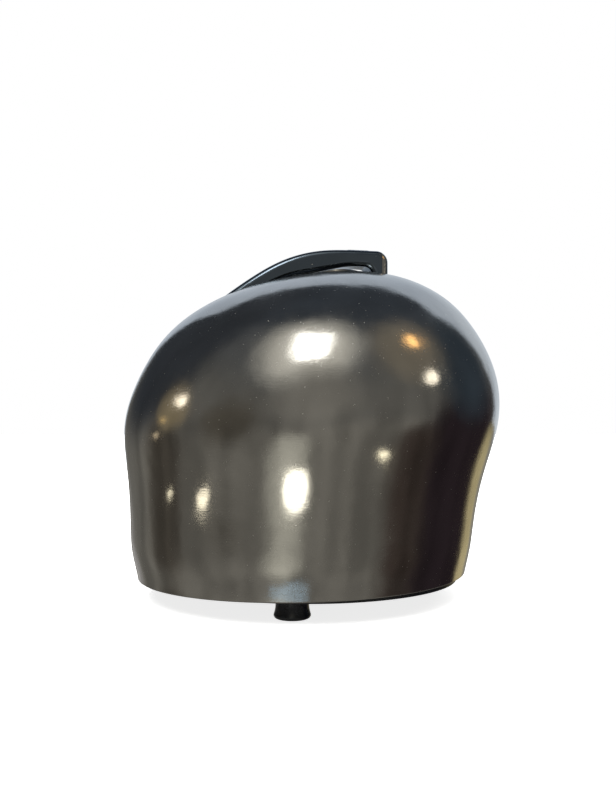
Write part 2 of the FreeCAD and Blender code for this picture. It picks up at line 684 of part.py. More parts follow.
def foot(angle):
    """Rubber foot: a slightly flared drum with a spigot in the pan and a hole for its screw."""
    x, y = around(FOOT_CIRCLE, angle)
    profile = [
        Part.makeLine(CENTRE, Vector(FOOT_RADIUS - 2.0, 0, 0)),
        Part.Arc(Vector(FOOT_RADIUS - 2.0, 0, 0), Vector(FOOT_RADIUS - 0.6, 0, 0.6),
                 Vector(FOOT_RADIUS, 0, 2.0)).toShape(),
        Part.Arc(Vector(FOOT_RADIUS, 0, 2.0), Vector(FOOT_RADIUS - 0.9, 0, PAN_HEIGHT * 0.55),
                 Vector(FOOT_RADIUS - 0.8, 0, PAN_HEIGHT)).toShape(),
        Part.makeLine(Vector(FOOT_RADIUS - 0.8, 0, PAN_HEIGHT), Vector(0, 0, PAN_HEIGHT)),
        Part.makeLine(Vector(0, 0, PAN_HEIGHT), Vector(0, 0, 0)),
    ]
    drum = Part.Face(Part.Wire(profile)).revolve(CENTRE, UP, 360)
    drum = drum.fuse(disc(FOOT_RADIUS - 1.5, PAN_HEIGHT - 1, PAN_HEIGHT + FOOT_SINK))
    drum = drum.cut(disc(SCREW_RADIUS, 0, 30)).cut(disc(SCREW_HEAD + 0.2, -1, 4.0))
    drum = drum.removeSplitter()
    drum.translate(Vector(x, y, 0))
    return drum


def screw(x, y, low, length, head=2.0):
    top = disc(SCREW_HEAD, low, low + head, x, y)
    slot = box((x - SCREW_HEAD, y - 0.4, low - 1), (x + SCREW_HEAD, y + 0.4, low + 0.8))
    return top.cut(slot).fuse(disc(SCREW_RADIUS, low + head, low + length, x, y)).removeSplitter()


def foot_screws():
    return [screw(x, y, 2.0, PAN_HEIGHT + FOOT_SINK + 1.5 - 2.0) for x, y in foot_places()]


def base_screws():
    low = PAN_HEIGHT + 1.0
    return [screw(x, y, low, CHASSIS_HEIGHT + 8 - low) for x, y in base_screw_places()]


def chassis():
    """Moulded plate above the pan, on the pan's bosses, that carries the socket and the switch."""
    plate = disc(BODY_RADIUS, CHASSIS_HEIGHT, CHASSIS_HEIGHT + CHASSIS)
    plate = plate.common(dome(WALL + CHASSIS_GAP)).cut(disc(26.0, 0, REACH))
    for x, y in base_screw_places():
        post = disc(4.5, CHASSIS_HEIGHT, FLOOR_HEIGHT - FLOOR_GASKET - SUPPORT - 14, x, y)
        plate = plate.fuse(post).cut(disc(SCREW_RADIUS, CHASSIS_HEIGHT, CHASSIS_HEIGHT + 8, x, y))
    width, tall = (size + 2 * INLET_WALL for size in INLET_SIZE)
    plate = plate.cut(panel(INLET_ANGLE, INLET_HEIGHT, width + 0.4, tall + 0.4, -8, INLET_DEPTH + 8))
    plate = plate.cut(panel(INLET_ANGLE, INLET_HEIGHT, width + 7, tall + 7, -8, WALL + INLET_FLANGE + 2))
    width, tall = (size + 2 * SWITCH_WALL for size in SWITCH_SIZE)
    plate = plate.cut(panel(SWITCH_ANGLE, SWITCH_HEIGHT, width + 0.4, tall + 0.4, -8, SWITCH_DEPTH + 8))
    return plate.removeSplitter()


# Socket for the appliance lead

def inlet_housing():
    wide, tall = INLET_SIZE
    body = panel(INLET_ANGLE, INLET_HEIGHT, wide + 2 * INLET_WALL, tall + 2 * INLET_WALL, -1.6,
                 INLET_DEPTH + INLET_WALL, 4.0)
    cavity = panel(INLET_ANGLE, INLET_HEIGHT, wide, tall, -8, INLET_DEPTH, 2.5)
    collar = panel(INLET_ANGLE, INLET_HEIGHT, wide + 2 * INLET_WALL + 6, tall + 2 * INLET_WALL + 6,
                   WALL + 1.6, WALL + 1.6 + INLET_FLANGE, 4.0)
    collar = collar.common(dome(WALL + 0.1))
    return join(body, collar).cut(cavity).cut(pin_slots())


def pin_places():
    return {"pin_live": (-PIN_PITCH / 2, -4.0), "pin_neutral": (PIN_PITCH / 2, -4.0), "pin_earth": (0.0, 5.0)}


def pin_blade(name):
    across, rise = pin_places()[name]
    thick, tall = PIN_SIZE
    blade = Part.makeBox(PIN_LENGTH + INLET_WALL + 6, thick, tall,
                         Vector(-INLET_DEPTH - INLET_WALL - 6, across - thick / 2, rise - tall / 2))
    point, _ = at_skin(INLET_ANGLE, INLET_HEIGHT)
    blade.rotate(CENTRE, UP, INLET_ANGLE)
    blade.translate(point)
    return blade


def pin_slots():
    blades = [pin_blade(name) for name in pin_places()]
    return blades[0].fuse(blades[1:])


# Switch

ROCKER_POINT, ROCKER_OUT = at_skin(SWITCH_ANGLE, SWITCH_HEIGHT)
ROCKER_AXIS = Vector(-ROCKER_OUT.y, ROCKER_OUT.x, 0)
ROCKER_CENTRE = ROCKER_POINT - ROCKER_OUT * ROCKER_PIVOT


def switch_housing():
    wide, tall = SWITCH_SIZE
    body = panel(SWITCH_ANGLE, SWITCH_HEIGHT, wide + 2 * SWITCH_WALL, tall + 2 * SWITCH_WALL, -1.2,
                 SWITCH_DEPTH + SWITCH_WALL, 2.5)
    cavity = panel(SWITCH_ANGLE, SWITCH_HEIGHT, wide, tall, -8, SWITCH_DEPTH)
    reach = wide / 2 + SWITCH_WALL / 2
    axle = rod(ROCKER_AXLE + RUNNING, ROCKER_CENTRE - ROCKER_AXIS * reach, ROCKER_CENTRE + ROCKER_AXIS * reach)
    return body.cut(cavity).cut(axle)


def rocker():
    """Rocker key with a shallow V face on its own axle, tipped to off."""
    half = SWITCH_SIZE[0] / 2 - ROCKER_GAP
    outline = [(ROCKER_PROUD, ROCKER_HALF), (0.3, 0), (ROCKER_PROUD, -ROCKER_HALF),
               (2 - ROCKER_PIVOT, 1.5 - ROCKER_HALF), (-ROCKER_PIVOT - 2, 0),
               (2 - ROCKER_PIVOT, ROCKER_HALF - 1.5)]
    corners = [Vector(out, -half, rise) for out, rise in outline]
    key = Part.Face(Part.makePolygon(corners + corners[:1])).extrude(ACROSS * (2 * half))
    key.rotate(CENTRE, UP, SWITCH_ANGLE)
    key.translate(ROCKER_POINT)
    reach = SWITCH_SIZE[0] / 2 + SWITCH_WALL / 2 - 0.1
    hub = rod(4.0, ROCKER_CENTRE - ROCKER_AXIS * half, ROCKER_CENTRE + ROCKER_AXIS * half)
    axle = rod(ROCKER_AXLE, ROCKER_CENTRE - ROCKER_AXIS * reach, ROCKER_CENTRE + ROCKER_AXIS * reach)
    key = join(key, hub, axle)
    key.rotate(ROCKER_CENTRE, ROCKER_AXIS, -ROCKER_THROW / 2)
    return key


def lamp_lens():
    point, out = at_skin(LAMP_ANGLE, SWITCH_HEIGHT)
    barrel = rod(LAMP_RADIUS, point - out * 5, point + out * 1.0)
    crown = Part.makeSphere(4.2, point - out * 2.4).common(rod(LAMP_RADIUS, point - out, point + out * 3))
    flange = rod(LAMP_RADIUS + 1.6, point - out * 5, point - out * (WALL + 1.0))
    return join(barrel, crown, flange)


def lamp():
    point, out = at_skin(LAMP_ANGLE, SWITCH_HEIGHT)
    return rod(1.8, point - out * 15, point - out * 5)


# Wiring

def wire(points):
    """Insulated wire: straight runs joined by tangent arcs."""
    edges, last = [], points[0]
    for before, corner, after in zip(points, points[1:], points[2:]):
        back, forth = (before - corner), (after - corner)
        back.normalize()
        forth.normalize()
        turn = math.pi - back.getAngle(forth)
        radius = 0.45 * min((before - corner).Length, (after - corner).Length) / math.tan(turn / 2)
        reach = radius * math.tan(turn / 2)
        start, end = corner + back * reach, corner + forth * reach
        bisector = back + forth
        bisector.normalize()
        middle = corner + bisector * (radius / math.cos(turn / 2) - radius)
        edges.append(Part.makeLine(last, start))
        edges.append(Part.Arc(start, middle, end).toShape())
        last = end
    edges.append(Part.makeLine(last, points[-1]))
    path = Part.Wire(edges)
    along = points[1] - points[0]
    section = Part.Wire([Part.makeCircle(WIRE_RADIUS, points[0], along)])
    return path.makePipeShell([section], True, False)


def inlet_end(name):
    across, rise = pin_places()[name]
    point, out = at_skin(INLET_ANGLE, INLET_HEIGHT)
    sideways = Vector(-out.y, out.x, 0)
    return point - out * (INLET_DEPTH + INLET_WALL + 6) + sideways * across + UP * rise, out


def wiring():
    """Live and neutral to the thermostat, earth to the heating plate."""
    wires = {}
    for name, target in (("live", Vector(-CONTROL_HALF, 12, CONTROL_LOW + 5)),
                         ("neutral", Vector(-CONTROL_HALF, -3, CONTROL_LOW + 5)),
                         ("earth", Vector(-24, 24, FLOOR_HEIGHT))):
        start, out = inlet_end("pin_" + name)
        first = start - out * 9
        if name == "earth":
            last = target - UP * 9
        else:
            last = target - Vector(9, 0, 0)
        wires["wire_" + name] = wire([start, first, last, target])
    return wires


PARTS = {
    "shell": shell(),
    "finger_well": finger_well(),
    "mouth_ring": mouth_ring(),
    "lid_skin": lid_skin(),
    "lid_liner": lid_liner(),
    "lid_gasket": lid_gasket(),
    "lid_screws": lid_screws(),
    "lid_hinge_pin": rod(PIN_RADIUS, HINGE - ACROSS * PIN_HALF, HINGE + ACROSS * PIN_HALF),
    "lid_spring": lid_spring(),
    "handle": handle(),
    "handle_end_cap": handle_end_cap(),
    "trigger_button": trigger_button(),
    "trigger_stem": trigger_stem(),
    "trigger_spring": trigger_spring(),
    "stem_seal": stem_seal(),
    "support_ring": support_ring(),
    "floor_gasket": floor_gasket(),
    "heating_plate": heating_plate(),
    "heating_element": heating_element(),
    "element_terminals": element_terminals(),
    "thermostat_body": thermostat_body(),
    "bimetal_disc": bimetal_disc(),
    "boil_dry_cutout": boil_dry_cutout(),
    "steam_tube": steam_tube(),
    "steam_seal": steam_seal(),
    "base_pan": base_pan(),
    "chassis": chassis(),
    "foot_screws": foot_screws(),
    "base_screws": base_screws(),
    "inlet_housing": inlet_housing(),
    "switch_housing": switch_housing(),
    "rocker": rocker(),
    "lamp_lens": lamp_lens(),
    "lamp": lamp(),
}
PARTS.update({name: foot(angle) for name, angle in FOOT_ANGLES.items()})
PARTS.update({name: pin_blade(name) for name in pin_places()})
PARTS.update(wiring())

# The origin lies on the table under the middle of the kettle's footprint.
footprint = PARTS["shell"].optimalBoundingBox()
SHIFT = Vector(-(footprint.XMin + footprint.XMax) / 2, 0, 0)

os.makedirs("parts", exist_ok=True)
for name, solid in PARTS.items():
    if isinstance(solid, list):
        solid = Part.makeCompound(solid)
    solid.translate(SHIFT)
    solid.exportStep("parts/" + name + ".step")
    print(name, len(solid.Solids), round(solid.Volume, 1), solid.isValid())
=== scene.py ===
import json
import math

import bmesh
import bpy
import numpy as np
from mathutils import Matrix, Vector


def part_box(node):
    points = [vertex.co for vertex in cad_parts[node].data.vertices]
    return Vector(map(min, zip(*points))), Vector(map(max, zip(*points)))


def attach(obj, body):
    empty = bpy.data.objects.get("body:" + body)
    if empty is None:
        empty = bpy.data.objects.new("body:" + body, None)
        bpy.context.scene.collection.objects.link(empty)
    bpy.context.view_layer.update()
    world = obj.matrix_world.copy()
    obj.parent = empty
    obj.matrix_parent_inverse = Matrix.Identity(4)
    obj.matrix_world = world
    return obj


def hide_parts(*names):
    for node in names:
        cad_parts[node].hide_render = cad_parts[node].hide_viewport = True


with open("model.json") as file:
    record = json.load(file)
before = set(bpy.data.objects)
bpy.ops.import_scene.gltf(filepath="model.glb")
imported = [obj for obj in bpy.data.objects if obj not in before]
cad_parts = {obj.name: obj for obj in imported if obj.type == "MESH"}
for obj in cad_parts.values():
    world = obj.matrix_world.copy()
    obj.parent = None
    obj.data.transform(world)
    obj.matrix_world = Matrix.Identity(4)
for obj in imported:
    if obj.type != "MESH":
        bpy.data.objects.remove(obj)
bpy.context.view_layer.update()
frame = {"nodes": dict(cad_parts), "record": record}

bl_info = {
    "name": "Dome kettle",
    "version": (1, 0, 0),
    "blender": (4, 5, 0),
    "location": "3D View > Sidebar > Kettle",
    "description": "Skins, finishes and studio for a polished steel dome kettle",
    "category": "Object",
}

MM = 0.001
FOOT_CIRCLE = 71.5 * MM         # the front foot's distance ahead of the base circle's centre
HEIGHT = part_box("shell")[1].z   # crown above the table


def middle_of(node):
    low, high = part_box(node)
    return (low + high) / 2


BASE_X = middle_of("foot_front").x - FOOT_CIRCLE   # x of the base circle's centre


class KettleShape(bpy.types.PropertyGroup):
    radius: bpy.props.FloatProperty(
        name="Body radius", description="Widest radius of the dome", default=0.110, unit="LENGTH")
    lean: bpy.props.FloatProperty(
        name="Lean", description="How far the crown lies ahead of the base", default=0.0293, unit="LENGTH")
    wall: bpy.props.FloatProperty(
        name="Wall", description="Thickness of the steel skin", default=0.0012, unit="LENGTH")
    rim: bpy.props.FloatProperty(
        name="Rim height", description="Lower rim above the table", default=0.0129, unit="LENGTH")
    rim_rise: bpy.props.FloatProperty(
        name="Rim rise", description="Slope of the rim towards the front", default=0.02)
    facets: bpy.props.IntProperty(
        name="Facets round", description="Faces round the dome", default=320, min=64)
    rows: bpy.props.IntProperty(
        name="Rows", description="Faces from rim to crown", default=150, min=32)
    handle_width: bpy.props.FloatProperty(
        name="Handle width", description="Width of the handle", default=0.018, unit="LENGTH")
    handle_edge: bpy.props.FloatProperty(
        name="Handle edge", description="Rounding of the handle's long edges", default=0.0034,
        unit="LENGTH")


class KettleFinish(bpy.types.PropertyGroup):
    steel: bpy.props.StringProperty(
        name="Steel", description="Colour of the polished skin, sRGB hex", default="C6C3BE")
    # the handle's colour is the steel darkened and blued as painted reflection of dark surroundings
    handle: bpy.props.StringProperty(
        name="Handle", description="Colour of the handle's steel, sRGB hex", default="76828F")
    mill_steel: bpy.props.StringProperty(
        name="Mill steel", description="Colour of the unpolished parts, sRGB hex", default="A9A8A5")
    moulding: bpy.props.StringProperty(
        name="Black moulding", description="Colour of the moulded parts, sRGB hex", default="101114")
    rubber: bpy.props.StringProperty(
        name="Feet", description="Colour of the feet, sRGB hex", default="0B0E13")
    lens: bpy.props.StringProperty(
        name="Lamp lens", description="Colour of the lamp lens, sRGB hex", default="B3201A")
    grain: bpy.props.FloatProperty(
        name="Polish lines", description="Spacing of the fine polishing lines", default=0.0009,
        unit="LENGTH")


def linear(text):
    """sRGB hex to linear colour with alpha 1."""
    parts = [int(text[i:i + 2], 16) / 255 for i in (0, 2, 4)]
    return tuple(c / 12.92 if c <= 0.04045 else ((c + 0.055) / 1.055) ** 2.4 for c in parts) + (1.0,)


# ---------------------------------------------------------------- materials

def add(tree, kind, settings=None, links=None, **inputs):
    """Adds a node: settings are its properties, inputs its socket values, links its incoming sockets."""
    node = tree.nodes.new(kind)
    for key, value in (settings or {}).items():
        setattr(node, key, value)
    for key, value in inputs.items():
        node.inputs[key.replace("_", " ")].default_value = value
    for key, source in (links or {}).items():
        tree.links.new(source, node.inputs[key])
    return node


def new_material(name):
    material = bpy.data.materials.new(name)
    material.use_nodes = True
    tree = material.node_tree
    tree.nodes.clear()
    shader = add(tree, "ShaderNodeBsdfPrincipled")
    output = add(tree, "ShaderNodeOutputMaterial")
    tree.links.new(shader.outputs[0], output.inputs["Surface"])
    place = add(tree, "ShaderNodeTexCoord").outputs["Object"]
    return material, tree, shader, place


def stretched(tree, place, scale):
    """Object coordinates scaled on each axis, in turns per metre."""
    return add(tree, "ShaderNodeMapping", links={"Vector": place}, Scale=scale).outputs[0]


def noise(tree, vector, spacing, detail=3.0, rough=0.55):
    """Noise whose blotches are about one spacing apart, in metres."""
    node = add(tree, "ShaderNodeTexNoise", links={"Vector": vector}, Scale=1 / spacing, Detail=detail)
    node.inputs["Roughness"].default_value = rough
    return node.outputs["Fac"]


def remap(tree, value, low, high, to_low, to_high):
    node = add(tree, "ShaderNodeMapRange", links={"Value": value})
    for key, number in zip(("From Min", "From Max", "To Min", "To Max"), (low, high, to_low, to_high)):
        node.inputs[key].default_value = number
    return node.outputs[0]


def blend_colours(tree, factor, first, second):
    node = add(tree, "ShaderNodeMix", {"data_type": "RGBA"}, {"Factor": factor})
    node.inputs[6].default_value = first
    node.inputs[7].default_value = second
    return node.outputs[2]


def shaded(colour, share):
    return tuple(c * share for c in colour[:3]) + (1.0,)


def polished_stainless_steel(name, colour, grain):
    """Buffed stainless: near mirror, greyed by hairlines, wipe marks and dust; grain spaces its lines."""
    material, tree, shader, place = new_material(name)
    steel = linear(colour)
    film = remap(tree, noise(tree, place, 45 * MM, 4.0), 0.35, 0.7, 0.0, 1.0)
    lines = noise(tree, stretched(tree, place, (1.0, 1.0, 9.0)), 9 * grain, 5.0, 0.7)
    specks = remap(tree, noise(tree, place, 1.1 * MM, 1.0, 0.4), 0.755, 0.80, 0.0, 1.0)
    smears = remap(tree, noise(tree, stretched(tree, place, (1.0, 1.0, 0.35)), 14 * MM, 5.0, 0.65),
                   0.35, 0.75, 0.0, 1.0)
    base = blend_colours(tree, film, steel, shaded(steel, 0.82))
    dusty = add(tree, "ShaderNodeMix", {"data_type": "RGBA"}, {"Factor": specks, 6: base})
    dusty.inputs[7].default_value = linear("E6E4DF")
    tree.links.new(dusty.outputs[2], shader.inputs["Base Color"])
    shader.inputs["Metallic"].default_value = 1.0
    spread = add(tree, "ShaderNodeMath", {"operation": "ADD"},
                 {0: remap(tree, smears, 0.0, 1.0, 0.10, 0.20), 1: remap(tree, specks, 0.0, 1.0, 0.0, 0.35)})
    tree.links.new(spread.outputs[0], shader.inputs["Roughness"])
    scuffs = noise(tree, place, 4.5 * MM, 6.0, 0.75)
    ripple = noise(tree, place, 30 * MM, 2.0)
    hair = add(tree, "ShaderNodeBump", links={"Height": lines}, Strength=0.05, Distance=0.0004)
    worn = add(tree, "ShaderNodeBump", links={"Height": scuffs, "Normal": hair.outputs[0]},
               Strength=0.06, Distance=0.0006)
    bump = add(tree, "ShaderNodeBump", links={"Height": ripple, "Normal": worn.outputs[0]},
               Strength=0.2, Distance=0.0022)
    tree.links.new(bump.outputs[0], shader.inputs["Normal"])
    return material


def mill_stainless_steel(colour):
    # cold rolled and drawn stainless left as it came from the mill: grey, with a fine directional grain
    material, tree, shader, place = new_material("mill_stainless_steel")
    steel = linear(colour)
    grain = noise(tree, stretched(tree, place, (1.0, 14.0, 1.0)), 6 * MM, 4.0, 0.7)
    base = blend_colours(tree, remap(tree, grain, 0.3, 0.7, 0.0, 1.0), steel, shaded(steel, 0.78))
    tree.links.new(base, shader.inputs["Base Color"])
    shader.inputs["Metallic"].default_value = 1.0
    tree.links.new(remap(tree, grain, 0.3, 0.7, 0.28, 0.42), shader.inputs["Roughness"])
    bump = add(tree, "ShaderNodeBump", links={"Height": grain}, Strength=0.08, Distance=0.0003)
    tree.links.new(bump.outputs[0], shader.inputs["Normal"])
    return material


def stamped_brass():
    # stamped and tumbled brass: warm, slightly dulled, with darker tarnish in patches
    material, tree, shader, place = new_material("stamped_brass")
    tarnish = remap(tree, noise(tree, place, 5 * MM, 4.0), 0.4, 0.7, 0.0, 1.0)
    base = blend_colours(tree, tarnish, linear("D9B56B"), linear("A07C3C"))
    tree.links.new(base, shader.inputs["Base Color"])
    shader.inputs["Metallic"].default_value = 1.0
    tree.links.new(remap(tree, tarnish, 0.0, 1.0, 0.22, 0.4), shader.inputs["Roughness"])
    return material


def moulded(name, colour, rough, spark, depth, ior=1.49, gloss=0.5):
    """A moulded plastic with a spark-eroded skin; spark is the texture's spacing in metres."""
    material, tree, shader, place = new_material(name)
    flow = remap(tree, noise(tree, place, 22 * MM, 3.0), 0.35, 0.7, 0.0, 1.0)
    base = blend_colours(tree, flow, colour, shaded(colour, 0.72))
    tree.links.new(base, shader.inputs["Base Color"])
    shader.inputs["IOR"].default_value = ior
    shader.inputs["Specular IOR Level"].default_value = gloss
    skin = noise(tree, place, spark, 2.0)
    tree.links.new(remap(tree, skin, 0.3, 0.7, rough * 0.85, rough * 1.2), shader.inputs["Roughness"])
    bump = add(tree, "ShaderNodeBump", links={"Height": skin}, Strength=0.25, Distance=depth)
    tree.links.new(bump.outputs[0], shader.inputs["Normal"])
    return material


def clear_part(name, colour, rough, ior):
    """A clear part, a little hazed by handling; colour is its tint."""
    material, tree, shader, place = new_material(name)
    haze = noise(tree, place, 2.5 * MM, 3.0)
    tree.links.new(blend_colours(tree, haze, colour, shaded(colour, 0.8)), shader.inputs["Base Color"])
    shader.inputs["IOR"].default_value = ior
    shader.inputs["Transmission Weight"].default_value = 0.7
    tree.links.new(remap(tree, haze, 0.3, 0.7, rough, rough + 0.12), shader.inputs["Roughness"])
    return material


def make_finishes(finish):
    """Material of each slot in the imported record, and the handle's own."""
    return {
        # 18/10 stainless, deep drawn and buffed
        "polished_steel": polished_stainless_steel("polished_stainless_steel", finish.steel, finish.grain),
        # 18/10 stainless, formed and buffed, the same steel as the body; its darker blue-grey colour is
        # painted reflection, standing in for the dark surroundings the handle reflects
        "handle_steel_painted_dark": polished_stainless_steel("polished_stainless_handle_painted_dark", finish.handle, finish.grain),
        "plain_steel": mill_stainless_steel(finish.mill_steel),
        "brass": stamped_brass(),
        # glass-filled polypropylene, injection moulded: black, satin, with a fine spark texture
        "black_moulding": moulded("moulded_polypropylene", linear(finish.moulding), 0.36, 0.9 * MM,
                                  0.00006),
        # unfilled polyester, injection moulded: off-white and dull
        "pale_moulding": moulded("moulded_polyester", linear("CFC8BA"), 0.5, 1.2 * MM, 0.00006),
        # nitrile rubber, compression moulded: black with a soft sheen
        "foot_rubber": moulded("moulded_nitrile_rubber", linear(finish.rubber), 0.30, 1.4 * MM,
                               0.00005, 1.52),
        # silicone rubber, moulded: milky and waxy
        "silicone": moulded("moulded_silicone", linear("C9C8C0"), 0.42, 1.6 * MM, 0.00005, 1.41),
        # tinted polycarbonate, moulded with a polished tool: glossy red
        "red_lens": clear_part("tinted_polycarbonate", linear(finish.lens), 0.06, 1.585),
        # blown glass bulb: clear, a little amber
        "lamp_glass": clear_part("blown_glass", linear("F0C8A0"), 0.03, 1.5),
        # plasticised PVC sleeve, extruded: smooth and slightly waxy
        "wire_live": moulded("extruded_pvc_brown", linear("5A3218"), 0.38, 3 * MM, 0.00004, 1.53),
        "wire_neutral": moulded("extruded_pvc_blue", linear("1F4FA0"), 0.38, 3 * MM, 0.00004, 1.53),
        "wire_earth": moulded("extruded_pvc_green", linear("5C9A2C"), 0.38, 3 * MM, 0.00004, 1.53),
    }


MATERIALS = {}


def finishes():
    if not MATERIALS:
        MATERIALS.update(make_finishes(bpy.context.scene.kettle_finish))
    return MATERIALS


def dress(obj, material):
    obj.data.materials.clear()
    obj.data.materials.append(material)


# ---------------------------------------------------------------- the dome

# height, radius and lean of the dome, as shares of the three body sizes, from foot to crown
DOME_SHAPE = (
    (0.042, 0.867, 0.0), (0.132, 0.899, 0.0), (0.246, 0.921, 0.034), (0.387, 0.958, 0.106),
    (0.529, 1.0, 0.218), (0.670, 0.958, 0.352), (0.811, 0.820, 0.461), (0.887, 0.679, 0.593),
    (0.943, 0.505, 0.750), (0.981, 0.302, 0.908), (1.0, 0.0, 1.0),
)


def end_slope(knots, points, at, way):
    """Rate at an end along a given way, as strong as the parabola through the three points there."""
    rate = sum(points[i] * (2 * at - knots[i - 1] - knots[i - 2])
               / ((knots[i] - knots[i - 1]) * (knots[i] - knots[i - 2])) for i in range(3))
    way = np.array(way, float)
    return way * np.abs(rate).sum() / np.abs(way).sum()


def smooth_line(points, count, ways=None):
    """Points evenly along the cubic spline through the given ones; ways are its end directions, if held."""
    p = np.array(points, float)
    t = np.r_[0, np.cumsum(np.linalg.norm(np.diff(p, axis=0), axis=1))]
    last, step = len(p) - 1, np.diff(t)
    grid, right = np.eye(last + 1), np.zeros(p.shape)
    if ways:
        right[0] = end_slope(t[:3], p[:3], t[0], ways[0])
        right[last] = end_slope(t[-3:], p[-3:], t[last], ways[1])
    else:
        grid[0, :2], right[0] = (2, 1), 3 * (p[1] - p[0]) / step[0]
        grid[last, -2:], right[last] = (1, 2), 3 * (p[last] - p[last - 1]) / step[-1]
    for i in range(1, last):
        before, after = 1 / step[i - 1], 1 / step[i]
        grid[i, i - 1], grid[i, i], grid[i, i + 1] = before, 2 * (before + after), after
        right[i] = 3 * ((p[i] - p[i - 1]) * before ** 2 + (p[i + 1] - p[i]) * after ** 2)
    rate = np.linalg.solve(grid, right)
    at = np.linspace(0, t[last], count)
    k = np.clip(np.searchsorted(t, at, side="right") - 1, 0, last - 1)
    h = step[k][:, None]
    u = (at - t[k])[:, None] / h
    return ((2 * u ** 3 - 3 * u ** 2 + 1) * p[k] + (u ** 3 - 2 * u ** 2 + u) * h * rate[k]
            + (3 * u ** 2 - 2 * u ** 3) * p[k + 1] + (u ** 3 - u ** 2) * h * rate[k + 1])


DOME_WAYS = ((0.1, 0, 1), (-1, 0.06, 0))   # way of the profile at the foot and at the crown
SAMPLES = 25       # points that carry an inset profile
BETWEEN = 20       # finer steps between them
FINE = 1500        # points of a finished profile


def dome_line(shape, inset=0.0):
    """Radius, lean and height along the skin, from foot to crown, a distance inside it."""
    points = [(r * shape.radius, s * shape.lean, h * HEIGHT) for h, r, s in DOME_SHAPE]
    line = smooth_line(points, SAMPLES, DOME_WAYS)
    if inset:
        fine = smooth_line(points, (SAMPLES - 1) * BETWEEN + 1, DOME_WAYS)
        along = np.gradient(fine, axis=0)[::BETWEEN]
        inward = np.stack([-along[:, 2], np.zeros(SAMPLES), along[:, 0]], 1)
        line = line + inward / np.linalg.norm(inward, axis=1)[:, None] * inset
    line[-1, 0] = 0.0
    return smooth_line(line, FINE, DOME_WAYS)


def dome_rings(shape, line, rows, facets, lift=0.0):
    """Grid of points over the dome, from the tilted rim to the crown; lift raises the first ring."""
    turn = np.linspace(0, 2 * np.pi, facets, endpoint=False)
    level = line[:, 2]
    foot = np.full(facets, shape.rim)
    for _ in range(4):
        radius = np.interp(foot, level, line[:, 0])
        lean = np.interp(foot, level, line[:, 1])
        foot = shape.rim + shape.rim_rise * (lean + radius * np.cos(turn))
    place = np.arange(FINE) / (FINE - 1)
    start = np.interp(foot + lift, level, place)
    rings = []
    for share in np.linspace(0, 1, rows + 1)[:-1]:
        at = start + (1 - start) * share
        r, s, z = (np.interp(at, place, line[:, i]) for i in range(3))
        rings.append(np.stack([BASE_X + s + r * np.cos(turn), r * np.sin(turn), z], 1))
    return rings


RIM_STEPS = 8      # facets round the rim's edge


def skin_mesh(name, shape):
    """Closed steel skin, one wall thick, with a rounded lower rim."""
    facets, rows = shape.facets, shape.rows
    outside, inside = dome_line(shape), dome_line(shape, shape.wall)
    soft = shape.wall / 2
    rings = dome_rings(shape, inside, rows, facets, soft)[::-1]
    low_in, low_out = dome_rings(shape, inside, 2, facets)[0], dome_rings(shape, outside, 2, facets)[0]
    raised_in, raised_out = rings[-1], dome_rings(shape, outside, 2, facets, soft)[0]
    centre = (raised_in + raised_out) / 2
    for step in range(1, RIM_STEPS):
        angle = math.pi * step / RIM_STEPS
        rings.append(centre + (raised_in - centre) * math.cos(angle)
                     + ((low_in + low_out) / 2 - centre) * math.sin(angle))
    rings += dome_rings(shape, outside, rows, facets, soft)
    crowns = [[BASE_X + line[-1, 1], 0, line[-1, 2]] for line in (inside, outside)]
    points = np.concatenate(rings + [crowns])
    faces, count = [], len(rings)
    for row in range(count - 1):
        for i in range(facets):
            j = (i + 1) % facets
            a = row * facets
            faces.append((a + i, a + j, a + facets + j, a + facets + i))
    top, tip_in = (count - 1) * facets, count * facets
    for i in range(facets):
        j = (i + 1) % facets
        faces.append((j, i, tip_in))
        faces.append((top + i, top + j, tip_in + 1))
    mesh = bpy.data.meshes.new(name)
    mesh.from_pydata(points.tolist(), [], faces)
    mesh.validate()
    return mesh


def place_object(name, mesh, body=None):
    obj = bpy.data.objects.new(name, mesh)
    bpy.context.scene.collection.objects.link(obj)
    if body:
        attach(obj, body)
    return obj


def prism(name, outline, origin, across, up, along, near, far):
    """Closed prism: outline points in the across and up directions, pushed along from near to far."""
    origin, across, up, along = (Vector(v) for v in (origin, across, up, along))
    build = bmesh.new()
    ends = [[build.verts.new(origin + across * a + up * b + along * depth) for a, b in outline]
            for depth in (near, far)]
    build.faces.new(ends[0])
    build.faces.new(ends[1][::-1])
    count = len(outline)
    for i in range(count):
        j = (i + 1) % count
        build.faces.new((ends[0][i], ends[1][i], ends[1][j], ends[0][j]))
    bmesh.ops.recalc_face_normals(build, faces=build.faces)
    mesh = bpy.data.meshes.new(name)
    build.to_mesh(mesh)
    build.free()
    return bpy.data.objects.new(name, mesh)


def ellipse(half_x, half_y, count=160):
    return [(half_x * math.cos(2 * math.pi * i / count), half_y * math.sin(2 * math.pi * i / count))
            for i in range(count)]


def rounded_box(half_a, half_b, corner, steps=6):
    points = []
    for quarter, (sa, sb) in enumerate(((1, 1), (-1, 1), (-1, -1), (1, -1))):
        for i in range(steps + 1):
            angle = math.pi / 2 * (quarter + i / steps)
            points.append((sa * (half_a - corner) + corner * math.cos(angle),
                           sb * (half_b - corner) + corner * math.sin(angle)))
    return points


def combine(target, operation, tools):
    """Cuts the tools from the target, or keeps what they share, and leaves a plain mesh."""
    collection = bpy.context.scene.collection
    for tool in tools:
        collection.objects.link(tool)
        step = target.modifiers.new("cut", "BOOLEAN")
        step.operation, step.object, step.solver = operation, tool, "MANIFOLD"
    bpy.context.view_layer.update()
    shape = bpy.data.meshes.new_from_object(target.evaluated_get(bpy.context.evaluated_depsgraph_get()))
    target.modifiers.clear()
    target.data = shape
    for tool in tools:
        bpy.data.objects.remove(tool)
    if not len(shape.polygons):
        raise RuntimeError(target.name + " came out empty")


